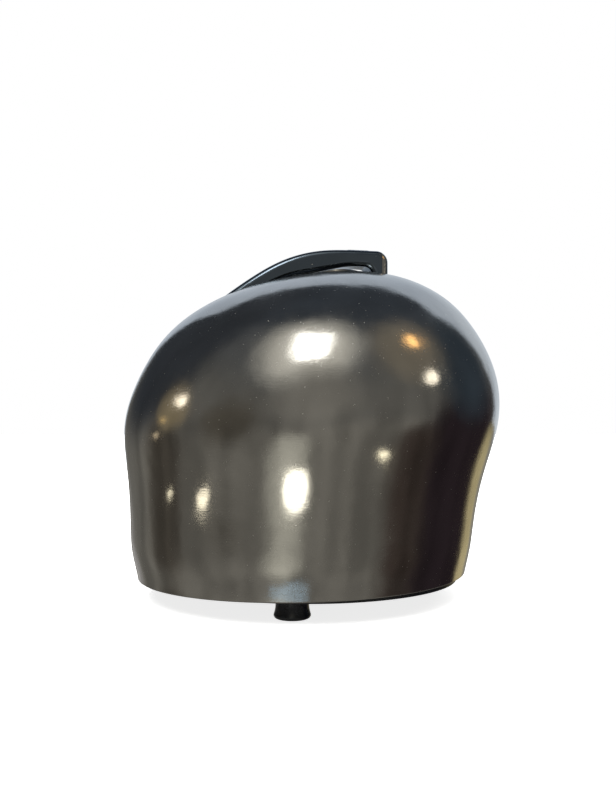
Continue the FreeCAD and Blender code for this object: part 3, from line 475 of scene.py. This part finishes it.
def read_mesh(items, what, width=3):
    values = np.zeros(len(items) * width, int if width == 1 else float)
    items.foreach_get(what, values)
    return values if width == 1 else values.reshape(-1, width)


FACING = 0.985          # how squarely a facet has to face the dome's own normal
NEARNESS = 0.4 * MM     # how near the profile its middle has to lie


def dome_normals(obj, shape):
    """Gives the curved faces the true dome's normals, so the polish reads as one surface."""
    mesh = obj.data
    for polygon in mesh.polygons:
        polygon.use_smooth = True
    owner = np.repeat(np.arange(len(mesh.polygons)), read_mesh(mesh.polygons, "loop_total", 1))
    at = read_mesh(mesh.vertices, "co")[read_mesh(mesh.loops, "vertex_index", 1)]
    flat = read_mesh(mesh.polygons, "normal")[owner]
    centres = read_mesh(mesh.polygons, "center")[owner]
    result = flat.copy()
    for depth, side in ((0.0, 1), (shape.wall, -1)):
        line = dome_line(shape, depth)
        slope, level = np.gradient(line, axis=0), line[:, 2]
        lean = np.interp(at[:, 2], level, line[:, 1])
        dr, ds, dz = (np.interp(at[:, 2], level, slope[:, i]) for i in range(3))
        turn = np.arctan2(at[:, 1], at[:, 0] - BASE_X - lean)
        true = np.stack([np.cos(turn) * dz, np.sin(turn) * dz, -(dr + ds * np.cos(turn))], 1)
        true /= np.linalg.norm(true, axis=1)[:, None]
        radius, lean = (np.interp(centres[:, 2], level, line[:, i]) for i in (0, 1))
        gap = np.abs(np.hypot(centres[:, 0] - BASE_X - lean, centres[:, 1]) - radius)
        level_share = np.abs(true[:, :2]).max(1)
        curved = ((flat * true).sum(1) * side > FACING) & (gap * level_share < NEARNESS)
        result[curved] = true[curved] * side
    mesh.normals_split_custom_set(result.tolist())


# the mouth's plane and the flap's hinge, as the steel was cut
MOUTH_TILT = math.radians(33.0)
MOUTH_NORMAL = Vector((math.sin(MOUTH_TILT), 0, math.cos(MOUTH_TILT)))
MOUTH_ALONG = Vector((MOUTH_NORMAL.z, 0, -MOUTH_NORMAL.x))
MOUTH_REAR = 52.9 * MM
MOUTH_SIZE = (56.0 * MM, 50.0 * MM)    # along the slope, across
MOUTH_CORNER = 7.0 * MM
FLAP_GAP = 0.6 * MM
FLAP_REAR_GAP = 3.0 * MM


def skin_height(shape, ahead):
    """Height of the skin on the middle plane at a distance ahead of the base centre."""
    line = dome_line(shape)
    front = line[:, 0] + line[:, 1]
    upper = line[:, 2] > 0.55 * HEIGHT
    order = np.argsort(front[upper])
    return float(np.interp(ahead, front[upper][order], line[upper, 2][order]))


def mouth_outline(shrink=0.0, rear=0.0):
    """Straight at the rear and round at the front, as (along, across) points."""
    length, width = MOUTH_SIZE
    half = width / 2 - shrink
    start, middle = rear + shrink, length - width / 2
    corner = max(MOUTH_CORNER - shrink, 0.5 * MM)
    points = [(middle + half * math.cos(a), half * math.sin(a))
              for a in np.linspace(math.pi / 2, -math.pi / 2, 60)]
    for sign, sweep in ((-1, (1.5, 1.0)), (1, (1.0, 0.5))):
        points += [(start + corner + corner * math.cos(a * math.pi),
                    sign * (half - corner) + corner * math.sin(a * math.pi))
                   for a in np.linspace(*sweep, 9)]
    return points


def mouth_tool(shape, shrink=0.0, rear=0.0):
    start = Vector((BASE_X + MOUTH_REAR, 0, skin_height(shape, MOUTH_REAR)))
    return prism("mouth_tool", mouth_outline(shrink, rear), start, MOUTH_ALONG, (0, 1, 0), MOUTH_NORMAL,
                 -30 * MM, 30 * MM)


def well_tool(shrink=0.0):
    low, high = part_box("finger_well")
    return prism("well_tool", ellipse((high.x - low.x) / 2 - shrink, (high.y - low.y) / 2 - shrink),
                 ((low.x + high.x) / 2, 0, low.z), (1, 0, 0), (0, 1, 0), (0, 0, 1), 0, 80 * MM)


def side_tool(shape, angle, size, corner):
    """Straight cutter through the side wall at an angle round the base, 40 mm above the table."""
    height = 40 * MM
    line = dome_line(shape)
    radius, lean = (float(np.interp(height, line[:, 2], line[:, i])) for i in (0, 1))
    out = Vector((math.cos(math.radians(angle)), math.sin(math.radians(angle)), 0))
    point = Vector((BASE_X + lean, 0, height)) + out * radius
    across = Vector((-out.y, out.x, 0))
    return prism("side_tool", rounded_box(size[0] / 2, size[1] / 2, corner), point, across, (0, 0, 1), out,
                 -8 * MM, 8 * MM)


SIDE_HOLES = (   # angle round the base, width and height, corner
    (150.0, (33.4 * MM, 27.4 * MM), 4.0 * MM),
    (62.0, (18.6 * MM, 23.6 * MM), 2.5 * MM),
    (46.0, (6.0 * MM, 6.0 * MM), 2.99 * MM),
)
STEM_HOLE = 2.3 * MM


class KETTLE_OT_skin(bpy.types.Operator):
    """Drawn steel body with its mouth, finger opening and side holes"""
    bl_idname = "kettle.skin"
    bl_label = "Body skin"

    def execute(self, context):
        shape = context.scene.kettle_shape
        body = place_object("body_skin", skin_mesh("body_skin", shape))
        stem = middle_of("trigger_stem")
        stem_tool = prism("stem_tool", ellipse(STEM_HOLE, STEM_HOLE, 48), (stem.x, 0, stem.z),
                          (1, 0, 0), (0, 1, 0), (0, 0, 1), -30 * MM, 30 * MM)
        tools = [mouth_tool(shape), well_tool(), stem_tool]
        tools += [side_tool(shape, *hole) for hole in SIDE_HOLES]
        combine(body, "DIFFERENCE", tools)
        dome_normals(body, shape)
        dress(body, finishes()["polished_steel"])
        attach(body, "kettle")
        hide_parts("shell")
        return {"FINISHED"}


class KETTLE_OT_flap(bpy.types.Operator):
    """Steel skin of the pouring flap"""
    bl_idname = "kettle.flap"
    bl_label = "Pouring flap"

    def execute(self, context):
        shape = context.scene.kettle_shape
        flap = place_object("flap_skin", skin_mesh("flap_skin", shape))
        combine(flap, "INTERSECT", [mouth_tool(shape, FLAP_GAP, FLAP_REAR_GAP)])
        dome_normals(flap, shape)
        dress(flap, finishes()["polished_steel"])
        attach(flap, "lid")
        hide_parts("lid_skin")
        return {"FINISHED"}


# ---------------------------------------------------------------- the handle

# outer edge of the arch, mm ahead of the base centre and over the crown, with the thickness there
ARCH = ((-62.0, -30.5, 9.8), (-52.0, -20.8, 9.8), (-35.1, -7.7, 9.8),
        (-12.3, 5.9, 10.98), (9.4, 12.3, 12.25), (30.6, 13.6, 9.8))
HANDLE_FRONT = 52.6             # front face of the front leg
HANDLE_THICKNESS = 9.8          # of that leg
HANDLE_CORNER = 7.0             # outer rounding where the arch turns down
HANDLE_ELBOW = 5.0              # inner rounding there
HANDLE_ROOT = 8.0               # how far the leg reaches below the crown
SEAM_X = 48.2                   # rear face of the end cap
SEAM = 0.15                     # joint between handle and cap
BUTTON = (27.0, 15.5, 10.0)     # rear end, length, width
BUTTON_GAP = 0.3
HANDLE_WALL = 1.2
CAVITY_HALF = 6.8               # half width of the hollow
EDGE_POINTS = 70                # points along each long edge
MARKS = 2001                    # finer ones, for the edge's direction


def arc(cx, cz, radius, start, end, steps):
    return [(cx + radius * math.cos(a), cz + radius * math.sin(a))
            for a in np.linspace(math.radians(start), math.radians(end), steps)]


def handle_outline():
    """Side view of the handle, in mm ahead of the base centre and over the crown."""
    top = ARCH[-1][1]
    edge = [(x, z) for x, z, _ in ARCH] + [(HANDLE_FRONT - HANDLE_CORNER, top)]
    outer, marks = smooth_line(edge, EDGE_POINTS), smooth_line(edge, MARKS)
    along = np.gradient(marks, axis=0)
    along /= np.linalg.norm(along, axis=1)[:, None]
    under = []
    for x, z, thick in ARCH:
        k = int(np.argmin(np.hypot(marks[:, 0] - x, marks[:, 1] - z)))
        under.append((x + along[k, 1] * thick, z - along[k, 0] * thick))
    leg = HANDLE_FRONT - HANDLE_THICKNESS
    low = top - HANDLE_THICKNESS
    under.append((leg - HANDLE_ELBOW, low))
    inner = smooth_line(under, EDGE_POINTS)[::-1]
    points = [tuple(p) for p in outer]
    points += arc(HANDLE_FRONT - HANDLE_CORNER, top - HANDLE_CORNER, HANDLE_CORNER, 90, 0, 16)[1:]
    points += [(HANDLE_FRONT, -HANDLE_ROOT), (leg, -HANDLE_ROOT)]
    points += arc(leg - HANDLE_ELBOW, low - HANDLE_ELBOW, HANDLE_ELBOW, 0, 90, 12)
    points += [tuple(p) for p in inner[1:]]
    return np.array(points)


def inset_outline(points, distance):
    """The closed outline moved in by a distance."""
    after, before = np.roll(points, -1, 0), np.roll(points, 1, 0)
    first, second = points - before, after - points
    first /= np.linalg.norm(first, axis=1)[:, None]
    second /= np.linalg.norm(second, axis=1)[:, None]
    n1 = np.stack([first[:, 1], -first[:, 0]], 1)
    n2 = np.stack([second[:, 1], -second[:, 0]], 1)
    way = n1 + n2
    way /= (1 + (n1 * n2).sum(1))[:, None]
    return points + way * distance


def handle_blank(name, shape):
    """Handle with rounded long edges, before it is cut."""
    outline = handle_outline()
    edge, half = shape.handle_edge, shape.handle_width / 2
    layers = []
    for angle in np.linspace(0, math.pi / 2, 8):
        layers.append((edge * (1 - math.sin(angle)), -half + edge * (1 - math.cos(angle))))
    layers += [(inset, -y) for inset, y in layers[::-1]]
    build = bmesh.new()
    rings = []
    for inset, y in layers:
        line = inset_outline(outline, inset / MM) * MM
        rings.append([build.verts.new((BASE_X + x, y, HEIGHT + z)) for x, z in line])
    count = len(outline)
    for a, b in zip(rings, rings[1:]):
        for i in range(count):
            j = (i + 1) % count
            build.faces.new((a[i], a[j], b[j], b[i]))
    build.faces.new(rings[0])
    build.faces.new(rings[-1][::-1])
    bmesh.ops.recalc_face_normals(build, faces=build.faces)
    mesh = bpy.data.meshes.new(name)
    build.to_mesh(mesh)
    build.free()
    return place_object(name, mesh)


def block(low, high):
    """Box cutter from corner to corner, mm ahead of the base centre, across, and over the crown."""
    outline = [(low[0], low[1]), (high[0], low[1]), (high[0], high[1]), (low[0], high[1])]
    return prism("block", [(a * MM, b * MM) for a, b in outline], (BASE_X, 0, HEIGHT), (1, 0, 0), (0, 1, 0),
                 (0, 0, 1), low[2] * MM, high[2] * MM)


def dome_core(shape):
    """Everything inside the skin but outside the finger well, for trimming what stands on the dome."""
    line = dome_line(shape)
    rings = dome_rings(shape, line, shape.rows, shape.facets)
    facets, count = shape.facets, len(rings)
    points = np.concatenate(rings + [[[BASE_X + line[-1, 1], 0, line[-1, 2]]]])
    faces = [(row * facets + i, row * facets + (i + 1) % facets, (row + 1) * facets + (i + 1) % facets,
              (row + 1) * facets + i) for row in range(count - 1) for i in range(facets)]
    top = (count - 1) * facets
    faces += [(top + i, top + (i + 1) % facets, count * facets) for i in range(facets)]
    faces.append(tuple(range(facets))[::-1])
    mesh = bpy.data.meshes.new("dome_core")
    mesh.from_pydata(points.tolist(), [], faces)
    core = place_object("dome_core", mesh)
    combine(core, "DIFFERENCE", [well_tool(shape.wall)])
    bpy.context.scene.collection.objects.unlink(core)
    return core


def handle_hollows():
    leg = HANDLE_FRONT - HANDLE_THICKNESS
    top = ARCH[-1][1]
    floor = top - HANDLE_THICKNESS + HANDLE_WALL
    chamber = block((BUTTON[0] - 2.5, -CAVITY_HALF, floor),
                    (SEAM_X + 0.8, CAVITY_HALF, top - HANDLE_WALL - 0.2))
    shaft = block((leg + HANDLE_WALL, -CAVITY_HALF - 0.01, -12),
                  (HANDLE_FRONT - HANDLE_WALL, CAVITY_HALF + 0.01, top - HANDLE_CORNER))
    return [chamber, shaft]


def soften(obj, angle=35.0):
    """Smooth shading that keeps edges sharper than the angle, with flat faces kept flat."""
    for polygon in obj.data.polygons:
        polygon.use_smooth = True
    obj.data.set_sharp_from_angle(angle=math.radians(angle))
    step = obj.modifiers.new("flat_faces", "WEIGHTED_NORMAL")
    step.keep_sharp = True


class KETTLE_OT_handle(bpy.types.Operator):
    """Arched steel handle and its front end cap"""
    bl_idname = "kettle.handle"
    bl_label = "Handle"

    def execute(self, context):
        shape = context.scene.kettle_shape
        rear, length, width = BUTTON
        start = (BASE_X + (rear + length / 2) * MM, 0, HEIGHT + (ARCH[-1][1] - HANDLE_WALL) * MM)
        half_length, half_width = ((size / 2 + BUTTON_GAP) * MM for size in (length, width))
        window = prism("window", rounded_box(half_length, half_width, 2.8 * MM), start,
                       (1, 0, 0), (0, 1, 0), (0, 0, 1), -1.5 * MM, 8 * MM)
        arch = handle_blank("arched_handle", shape)
        combine(arch, "DIFFERENCE", [dome_core(shape), block((SEAM_X, -20, -60), (90, 20, 40)),
                                     *handle_hollows(), window])
        cap = handle_blank("handle_cap", shape)
        combine(cap, "DIFFERENCE", [dome_core(shape), block((-90, -20, -60), (SEAM_X + SEAM, 20, 40)),
                                    handle_hollows()[1]])
        # the arch takes the steel darkened as painted reflection of dark surroundings; the end cap takes the
        # body's steel
        made = ((arch, "handle", "handle_steel_painted_dark"), (cap, "handle_end_cap", "polished_steel"))
        for piece, node, finish in made:
            soften(piece)
            dress(piece, finishes()[finish])
            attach(piece, "kettle")
            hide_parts(node)
        return {"FINISHED"}


# ---------------------------------------------------------------- carried-over nodes

SLOT_OF = {part["node"]: part["material_slot"] for part in frame["record"]["subparts"]}
REMADE = ("shell", "lid_skin", "handle", "handle_end_cap")
OUTSIDE = ("finger_well", "mouth_ring", "trigger_button", "stem_seal", "base_pan", "foot_left",
           "foot_right", "foot_front", "foot_screws", "base_screws", "inlet_housing", "switch_housing",
           "rocker", "lamp_lens", "pin_live", "pin_neutral", "pin_earth")
ROUNDED = {"rocker": 0.5 * MM, "switch_housing": 0.35 * MM, "inlet_housing": 0.35 * MM,
           "trigger_button": 0.25 * MM}    # edge rounding


def dress_nodes(names):
    for name in names:
        dress(frame["nodes"][name], finishes()[SLOT_OF[name]])


def round_off(name, width):
    """Small rounding on a node's sharp edges, made by modifiers on its untouched mesh."""
    node = frame["nodes"][name]
    weld = node.modifiers.new("weld", "WELD")
    weld.merge_threshold = 0.002 * MM
    bevel = node.modifiers.new("edges", "BEVEL")
    bevel.width, bevel.segments, bevel.limit_method = width, 2, "ANGLE"
    bevel.angle_limit = math.radians(50)
    bevel.harden_normals = True


class KETTLE_OT_outside(bpy.types.Operator):
    """Finishes of the parts seen from outside: well, mouth ring, trigger, pan, feet, switch and socket"""
    bl_idname = "kettle.outside"
    bl_label = "Outer parts"

    def execute(self, context):
        dress_nodes(OUTSIDE)
        for name, width in ROUNDED.items():
            round_off(name, width)
        return {"FINISHED"}


class KETTLE_OT_inside(bpy.types.Operator):
    """Finishes of the parts inside: flap works, heater, thermostat, steam tube and wiring"""
    bl_idname = "kettle.inside"
    bl_label = "Inner parts"

    def execute(self, context):
        dress_nodes([name for name in SLOT_OF if name not in OUTSIDE + REMADE])
        return {"FINISHED"}


# ---------------------------------------------------------------- studio

def seen_by(obj, camera=False, diffuse=False, glossy=False, shadow=False):
    obj.visible_camera, obj.visible_diffuse, obj.visible_glossy = camera, diffuse, glossy
    obj.visible_transmission, obj.visible_shadow, obj.visible_volume_scatter = glossy, shadow, False


def glow(name, colour, strength):
    material = bpy.data.materials.new(name)
    material.use_nodes = True
    tree = material.node_tree
    tree.nodes.clear()
    shine = add(tree, "ShaderNodeEmission", Color=colour, Strength=strength)
    output = add(tree, "ShaderNodeOutputMaterial")
    tree.links.new(shine.outputs[0], output.inputs["Surface"])
    return material


def direction(azimuth, elevation):
    """Unit vector: azimuth 0 is towards the viewer's side, 90 towards the flap, elevation up."""
    a, e = math.radians(azimuth), math.radians(elevation)
    return Vector((math.sin(a) * math.cos(e), -math.cos(a) * math.cos(e), math.sin(e)))


def soft_box(name, azimuth, elevation, width, height, strength, colour, distance, aim, shape):
    """Lit panel on a stand, out in a direction from the point it is aimed at."""
    light = bpy.data.lights.new(name, "AREA")
    light.shape, light.size, light.size_y = shape, width, height
    light.energy = strength * math.pi * width * height * (math.pi / 4 if shape == "ELLIPSE" else 1)
    light.color = linear(colour)[:3]
    obj = bpy.data.objects.new(name, light)
    bpy.context.scene.collection.objects.link(obj)
    way = direction(azimuth, elevation)
    place = Vector((BASE_X, 0, 0)) + Vector(aim) * MM + way * distance
    obj.matrix_world = Matrix.Translation(place) @ way.to_track_quat("Z", "Y").to_matrix().to_4x4()
    seen_by(obj, glossy=True, shadow=True)


def sun(name, azimuth, elevation, strength, spread):
    """Broad even light for the floor and the mouldings, out of the steel's sight; spread in degrees."""
    light = bpy.data.lights.new(name, "SUN")
    light.energy, light.angle = strength, math.radians(spread)
    obj = bpy.data.objects.new(name, light)
    bpy.context.scene.collection.objects.link(obj)
    obj.matrix_world = direction(azimuth, elevation).to_track_quat("Z", "Y").to_matrix().to_4x4()
    seen_by(obj, diffuse=True, shadow=True)


class KETTLE_OT_stage(bpy.types.Operator):
    """Pale floor, plain backdrop, soft studio lights and camera"""
    bl_idname = "kettle.stage"
    bl_label = "Studio"

    def execute(self, context):
        scene = context.scene
        scene.view_settings.view_transform = "Standard"
        build = bmesh.new()
        bmesh.ops.create_circle(build, cap_ends=True, segments=96, radius=6.0)
        mesh = bpy.data.meshes.new("floor")
        build.to_mesh(mesh)
        build.free()
        floor = place_object("floor", mesh)
        material, tree, shader, place = new_material("matt_paper_floor")
        # matt white paper sweep, lit a little from below: flat white with the faintest fibre
        fibre = noise(tree, place, 4 * MM, 2.0)
        paper = blend_colours(tree, fibre, linear("FFFFFF"), linear("FBFBFA"))
        tree.links.new(paper, shader.inputs["Base Color"])
        shader.inputs["Roughness"].default_value = 0.9
        shader.inputs["Specular IOR Level"].default_value = 0.1
        shader.inputs["Emission Color"].default_value = linear("FFFFFF")
        shader.inputs["Emission Strength"].default_value = 0.8
        dress(floor, material)
        seen_by(floor, camera=True, diffuse=True)

        build = bmesh.new()
        bmesh.ops.create_uvsphere(build, u_segments=48, v_segments=24, radius=5.9)
        mesh = bpy.data.meshes.new("backdrop")
        build.to_mesh(mesh)
        build.free()
        backdrop = place_object("backdrop", mesh)
        dress(backdrop, glow("white_backdrop", (1, 1, 1, 1), 1.0))
        seen_by(backdrop, camera=True)

        sun("key", -35, 62, 2.3, 50)
        sun("fill", 120, 75, 1.3, 90)
        for settings in SOFT_BOXES:
            soft_box(*settings)
        room(scene)

        camera = bpy.data.cameras.new("camera")
        camera.lens, camera.sensor_width, camera.sensor_fit = 41.21, 36.0, "AUTO"
        eye = bpy.data.objects.new("camera", camera)
        scene.collection.objects.link(eye)
        eye.location = Vector((BASE_X, 0, 0)) + Vector((-114.35, -537.98, 103.2)) * MM
        eye.rotation_euler = (math.radians(90 + 1.22), 0, math.radians(-12.44))
        scene.camera = eye
        return {"FINISHED"}


BODY = (0, 0, 96)      # middle of the body, mm from the base centre

# name, azimuth, elevation, width and height in metres, radiance, colour, distance in metres,
# the point it is aimed at in mm from the base centre, outline
SOFT_BOXES = (
    ("back_card", 158, 24, 2.1, 1.62, 1.0, "B3BECB", 1.5, BODY, "RECTANGLE"),
    ("window", -19, 59, 0.36, 0.40, 4.2, "FFFFFA", 1.3, BODY, "RECTANGLE"),
    ("low_front", -18, -23, 0.028, 0.013, 3.2, "FFFCEC", 0.06, (-23.9, -100.9, 68.9), "ELLIPSE"),
    ("left_high", -102, 21, 0.030, 0.030, 3.0, "FFF3DE", 0.20, (-77.1, -68.7, 112.6), "ELLIPSE"),
    ("left_low", -79, -15, 0.016, 0.007, 2.8, "FFF6DC", 0.06, (-66.6, -77.1, 62.8), "ELLIPSE"),
    ("left_low_small", -106, -12, 0.008, 0.0035, 2.0, "FFF6D8", 0.06, (-81.9, -60.4, 64.8), "ELLIPSE"),
    ("left_warm", -111, 8, 0.016, 0.014, 1.2, "F5CF85", 0.18, (-85.6, -60.1, 102.9), "ELLIPSE"),
    ("left_edge", -117, -2, 0.016, 0.012, 1.2, "F2DDB8", 0.18, (-89.4, -54.6, 94.6), "ELLIPSE"),
    ("right_warm", 70, 47, 0.032, 0.032, 3.0, "FFC272", 0.20, (37.9, -95.5, 142.6), "ELLIPSE"),
    ("right_soft", 65, 24, 0.040, 0.036, 2.6, "FFF6E2", 0.20, (46.3, -100.2, 124.7), "ELLIPSE"),
    ("right_low", 35, -25, 0.014, 0.007, 2.4, "FFF6D6", 0.06, (18.9, -106.9, 85.8), "ELLIPSE"),
    ("rim_cool", -21, -37, 0.070, 0.006, 1.0, "BFE4FF", 0.12, (-26.4, -93.4, 17.2), "ELLIPSE"),
)

# the room's soft light: azimuth, elevation, half width and softness in degrees, colour
PATCHES = (
    (0, 78, 20, 40, "606263"),
    (160, 65, 22, 30, "3C424A"),
    (-142, 34, 22, 20, "383C42"),
    (-22, 58, 5, 27, "E4E2D8"),
    (-24, -22, 2, 14, "BEBDB2"),
    (-12, 22, 6, 26, "84827C"),
    (-112, -10, 6, 16, "4C4842"),
    (-106, 14, 5, 12, "94886F"),
    (-62, 6, 6, 18, "605C54"),
    (97, -18, 24, 22, "2A2327"),
    (97, 22, 12, 22, "38414A"),
    (60, 44, 8, 18, "807A6E"),
    (56, -22, 6, 14, "403834"),
    (131, -13, 5, 6, "C4B78C"),
    (-165, -14, 3, 7, "A4A2A0"),
)


def room(scene):
    """Soft grey room round the kettle, as smooth patches of light on the world."""
    world = bpy.data.worlds.new("room")
    scene.world = world
    world.use_nodes = True
    tree = world.node_tree
    tree.nodes.clear()
    way = add(tree, "ShaderNodeTexCoord").outputs["Generated"]
    way = add(tree, "ShaderNodeVectorMath", {"operation": "NORMALIZE"}, {0: way}).outputs[0]
    rise = add(tree, "ShaderNodeSeparateXYZ", links={0: way}).outputs["Z"]
    wide = add(tree, "ShaderNodeMapping", links={"Vector": way}, Scale=(1, 1, 0.12)).outputs[0]
    streak = add(tree, "ShaderNodeTexNoise", links={"Vector": wide}, Scale=5.5, Detail=3.0).outputs["Fac"]
    ramp = add(tree, "ShaderNodeValToRGB", links={"Fac": remap(tree, rise, -1, 1, 0, 1)})
    stops = ramp.color_ramp.elements
    levels = ((0.0, "6C6A66"), (0.27, "7A7872"), (0.42, "7C7A74"), (0.52, "6C6B67"), (0.64, "6E6D69"),
              (0.80, "686865"), (0.92, "50545A"), (1.0, "626466"))
    stops[0].position, stops[0].color = levels[0][0], linear(levels[0][1])
    stops[1].position, stops[1].color = levels[-1][0], linear(levels[-1][1])
    for position, colour in levels[1:-1]:
        stop = stops.new(position)
        stop.color = linear(colour)
    result = ramp.outputs["Color"]
    for azimuth, elevation, inner, soft, colour in PATCHES:
        facing = add(tree, "ShaderNodeVectorMath", {"operation": "DOT_PRODUCT"}, {0: way})
        facing.inputs[1].default_value = direction(azimuth, elevation)
        share = add(tree, "ShaderNodeMapRange", {"interpolation_type": "SMOOTHSTEP"},
                    {"Value": facing.outputs["Value"]})
        share.inputs["From Min"].default_value = math.cos(math.radians(inner + soft))
        share.inputs["From Max"].default_value = math.cos(math.radians(inner))
        mix = add(tree, "ShaderNodeMix", {"data_type": "RGBA"}, {"Factor": share.outputs[0], 6: result})
        mix.inputs[7].default_value = linear(colour)
        result = mix.outputs[2]
    bars = remap(tree, streak, 0.38, 0.62, 0.72, 1.3)
    low = remap(tree, rise, -0.1, 0.3, 1.0, 0.25)
    toned = add(tree, "ShaderNodeMix", {"data_type": "FLOAT"}, {"Factor": low, 3: bars})
    toned.inputs[2].default_value = 1.0
    ground = add(tree, "ShaderNodeBackground", links={"Color": result, "Strength": toned.outputs[0]})
    output = add(tree, "ShaderNodeOutputWorld")
    tree.links.new(ground.outputs[0], output.inputs["Surface"])


# ---------------------------------------------------------------- add-on

class KETTLE_PT_panel(bpy.types.Panel):
    """Kettle pieces in the order they are made"""
    bl_label = "Dome kettle"
    bl_idname = "KETTLE_PT_panel"
    bl_space_type = "VIEW_3D"
    bl_region_type = "UI"
    bl_category = "Kettle"

    def draw(self, context):
        for group in (context.scene.kettle_shape, context.scene.kettle_finish):
            for name in group.__annotations__:
                self.layout.prop(group, name)
        for operator in OPERATORS:
            self.layout.operator(operator.bl_idname)


OPERATORS = (KETTLE_OT_skin, KETTLE_OT_flap, KETTLE_OT_handle, KETTLE_OT_outside, KETTLE_OT_inside,
             KETTLE_OT_stage)


def register():
    for part in (KettleShape, KettleFinish, *OPERATORS, KETTLE_PT_panel):
        bpy.utils.register_class(part)
    bpy.types.Scene.kettle_shape = bpy.props.PointerProperty(type=KettleShape)
    bpy.types.Scene.kettle_finish = bpy.props.PointerProperty(type=KettleFinish)


def unregister():
    del bpy.types.Scene.kettle_finish
    del bpy.types.Scene.kettle_shape
    for part in (KETTLE_PT_panel, *OPERATORS[::-1], KettleFinish, KettleShape):
        bpy.utils.unregister_class(part)


def main():
    register()
    bpy.ops.kettle.skin()
    bpy.ops.kettle.flap()
    bpy.ops.kettle.handle()
    bpy.ops.kettle.outside()
    bpy.ops.kettle.inside()
    bpy.ops.kettle.stage()


if __name__ == "__main__":
    main()
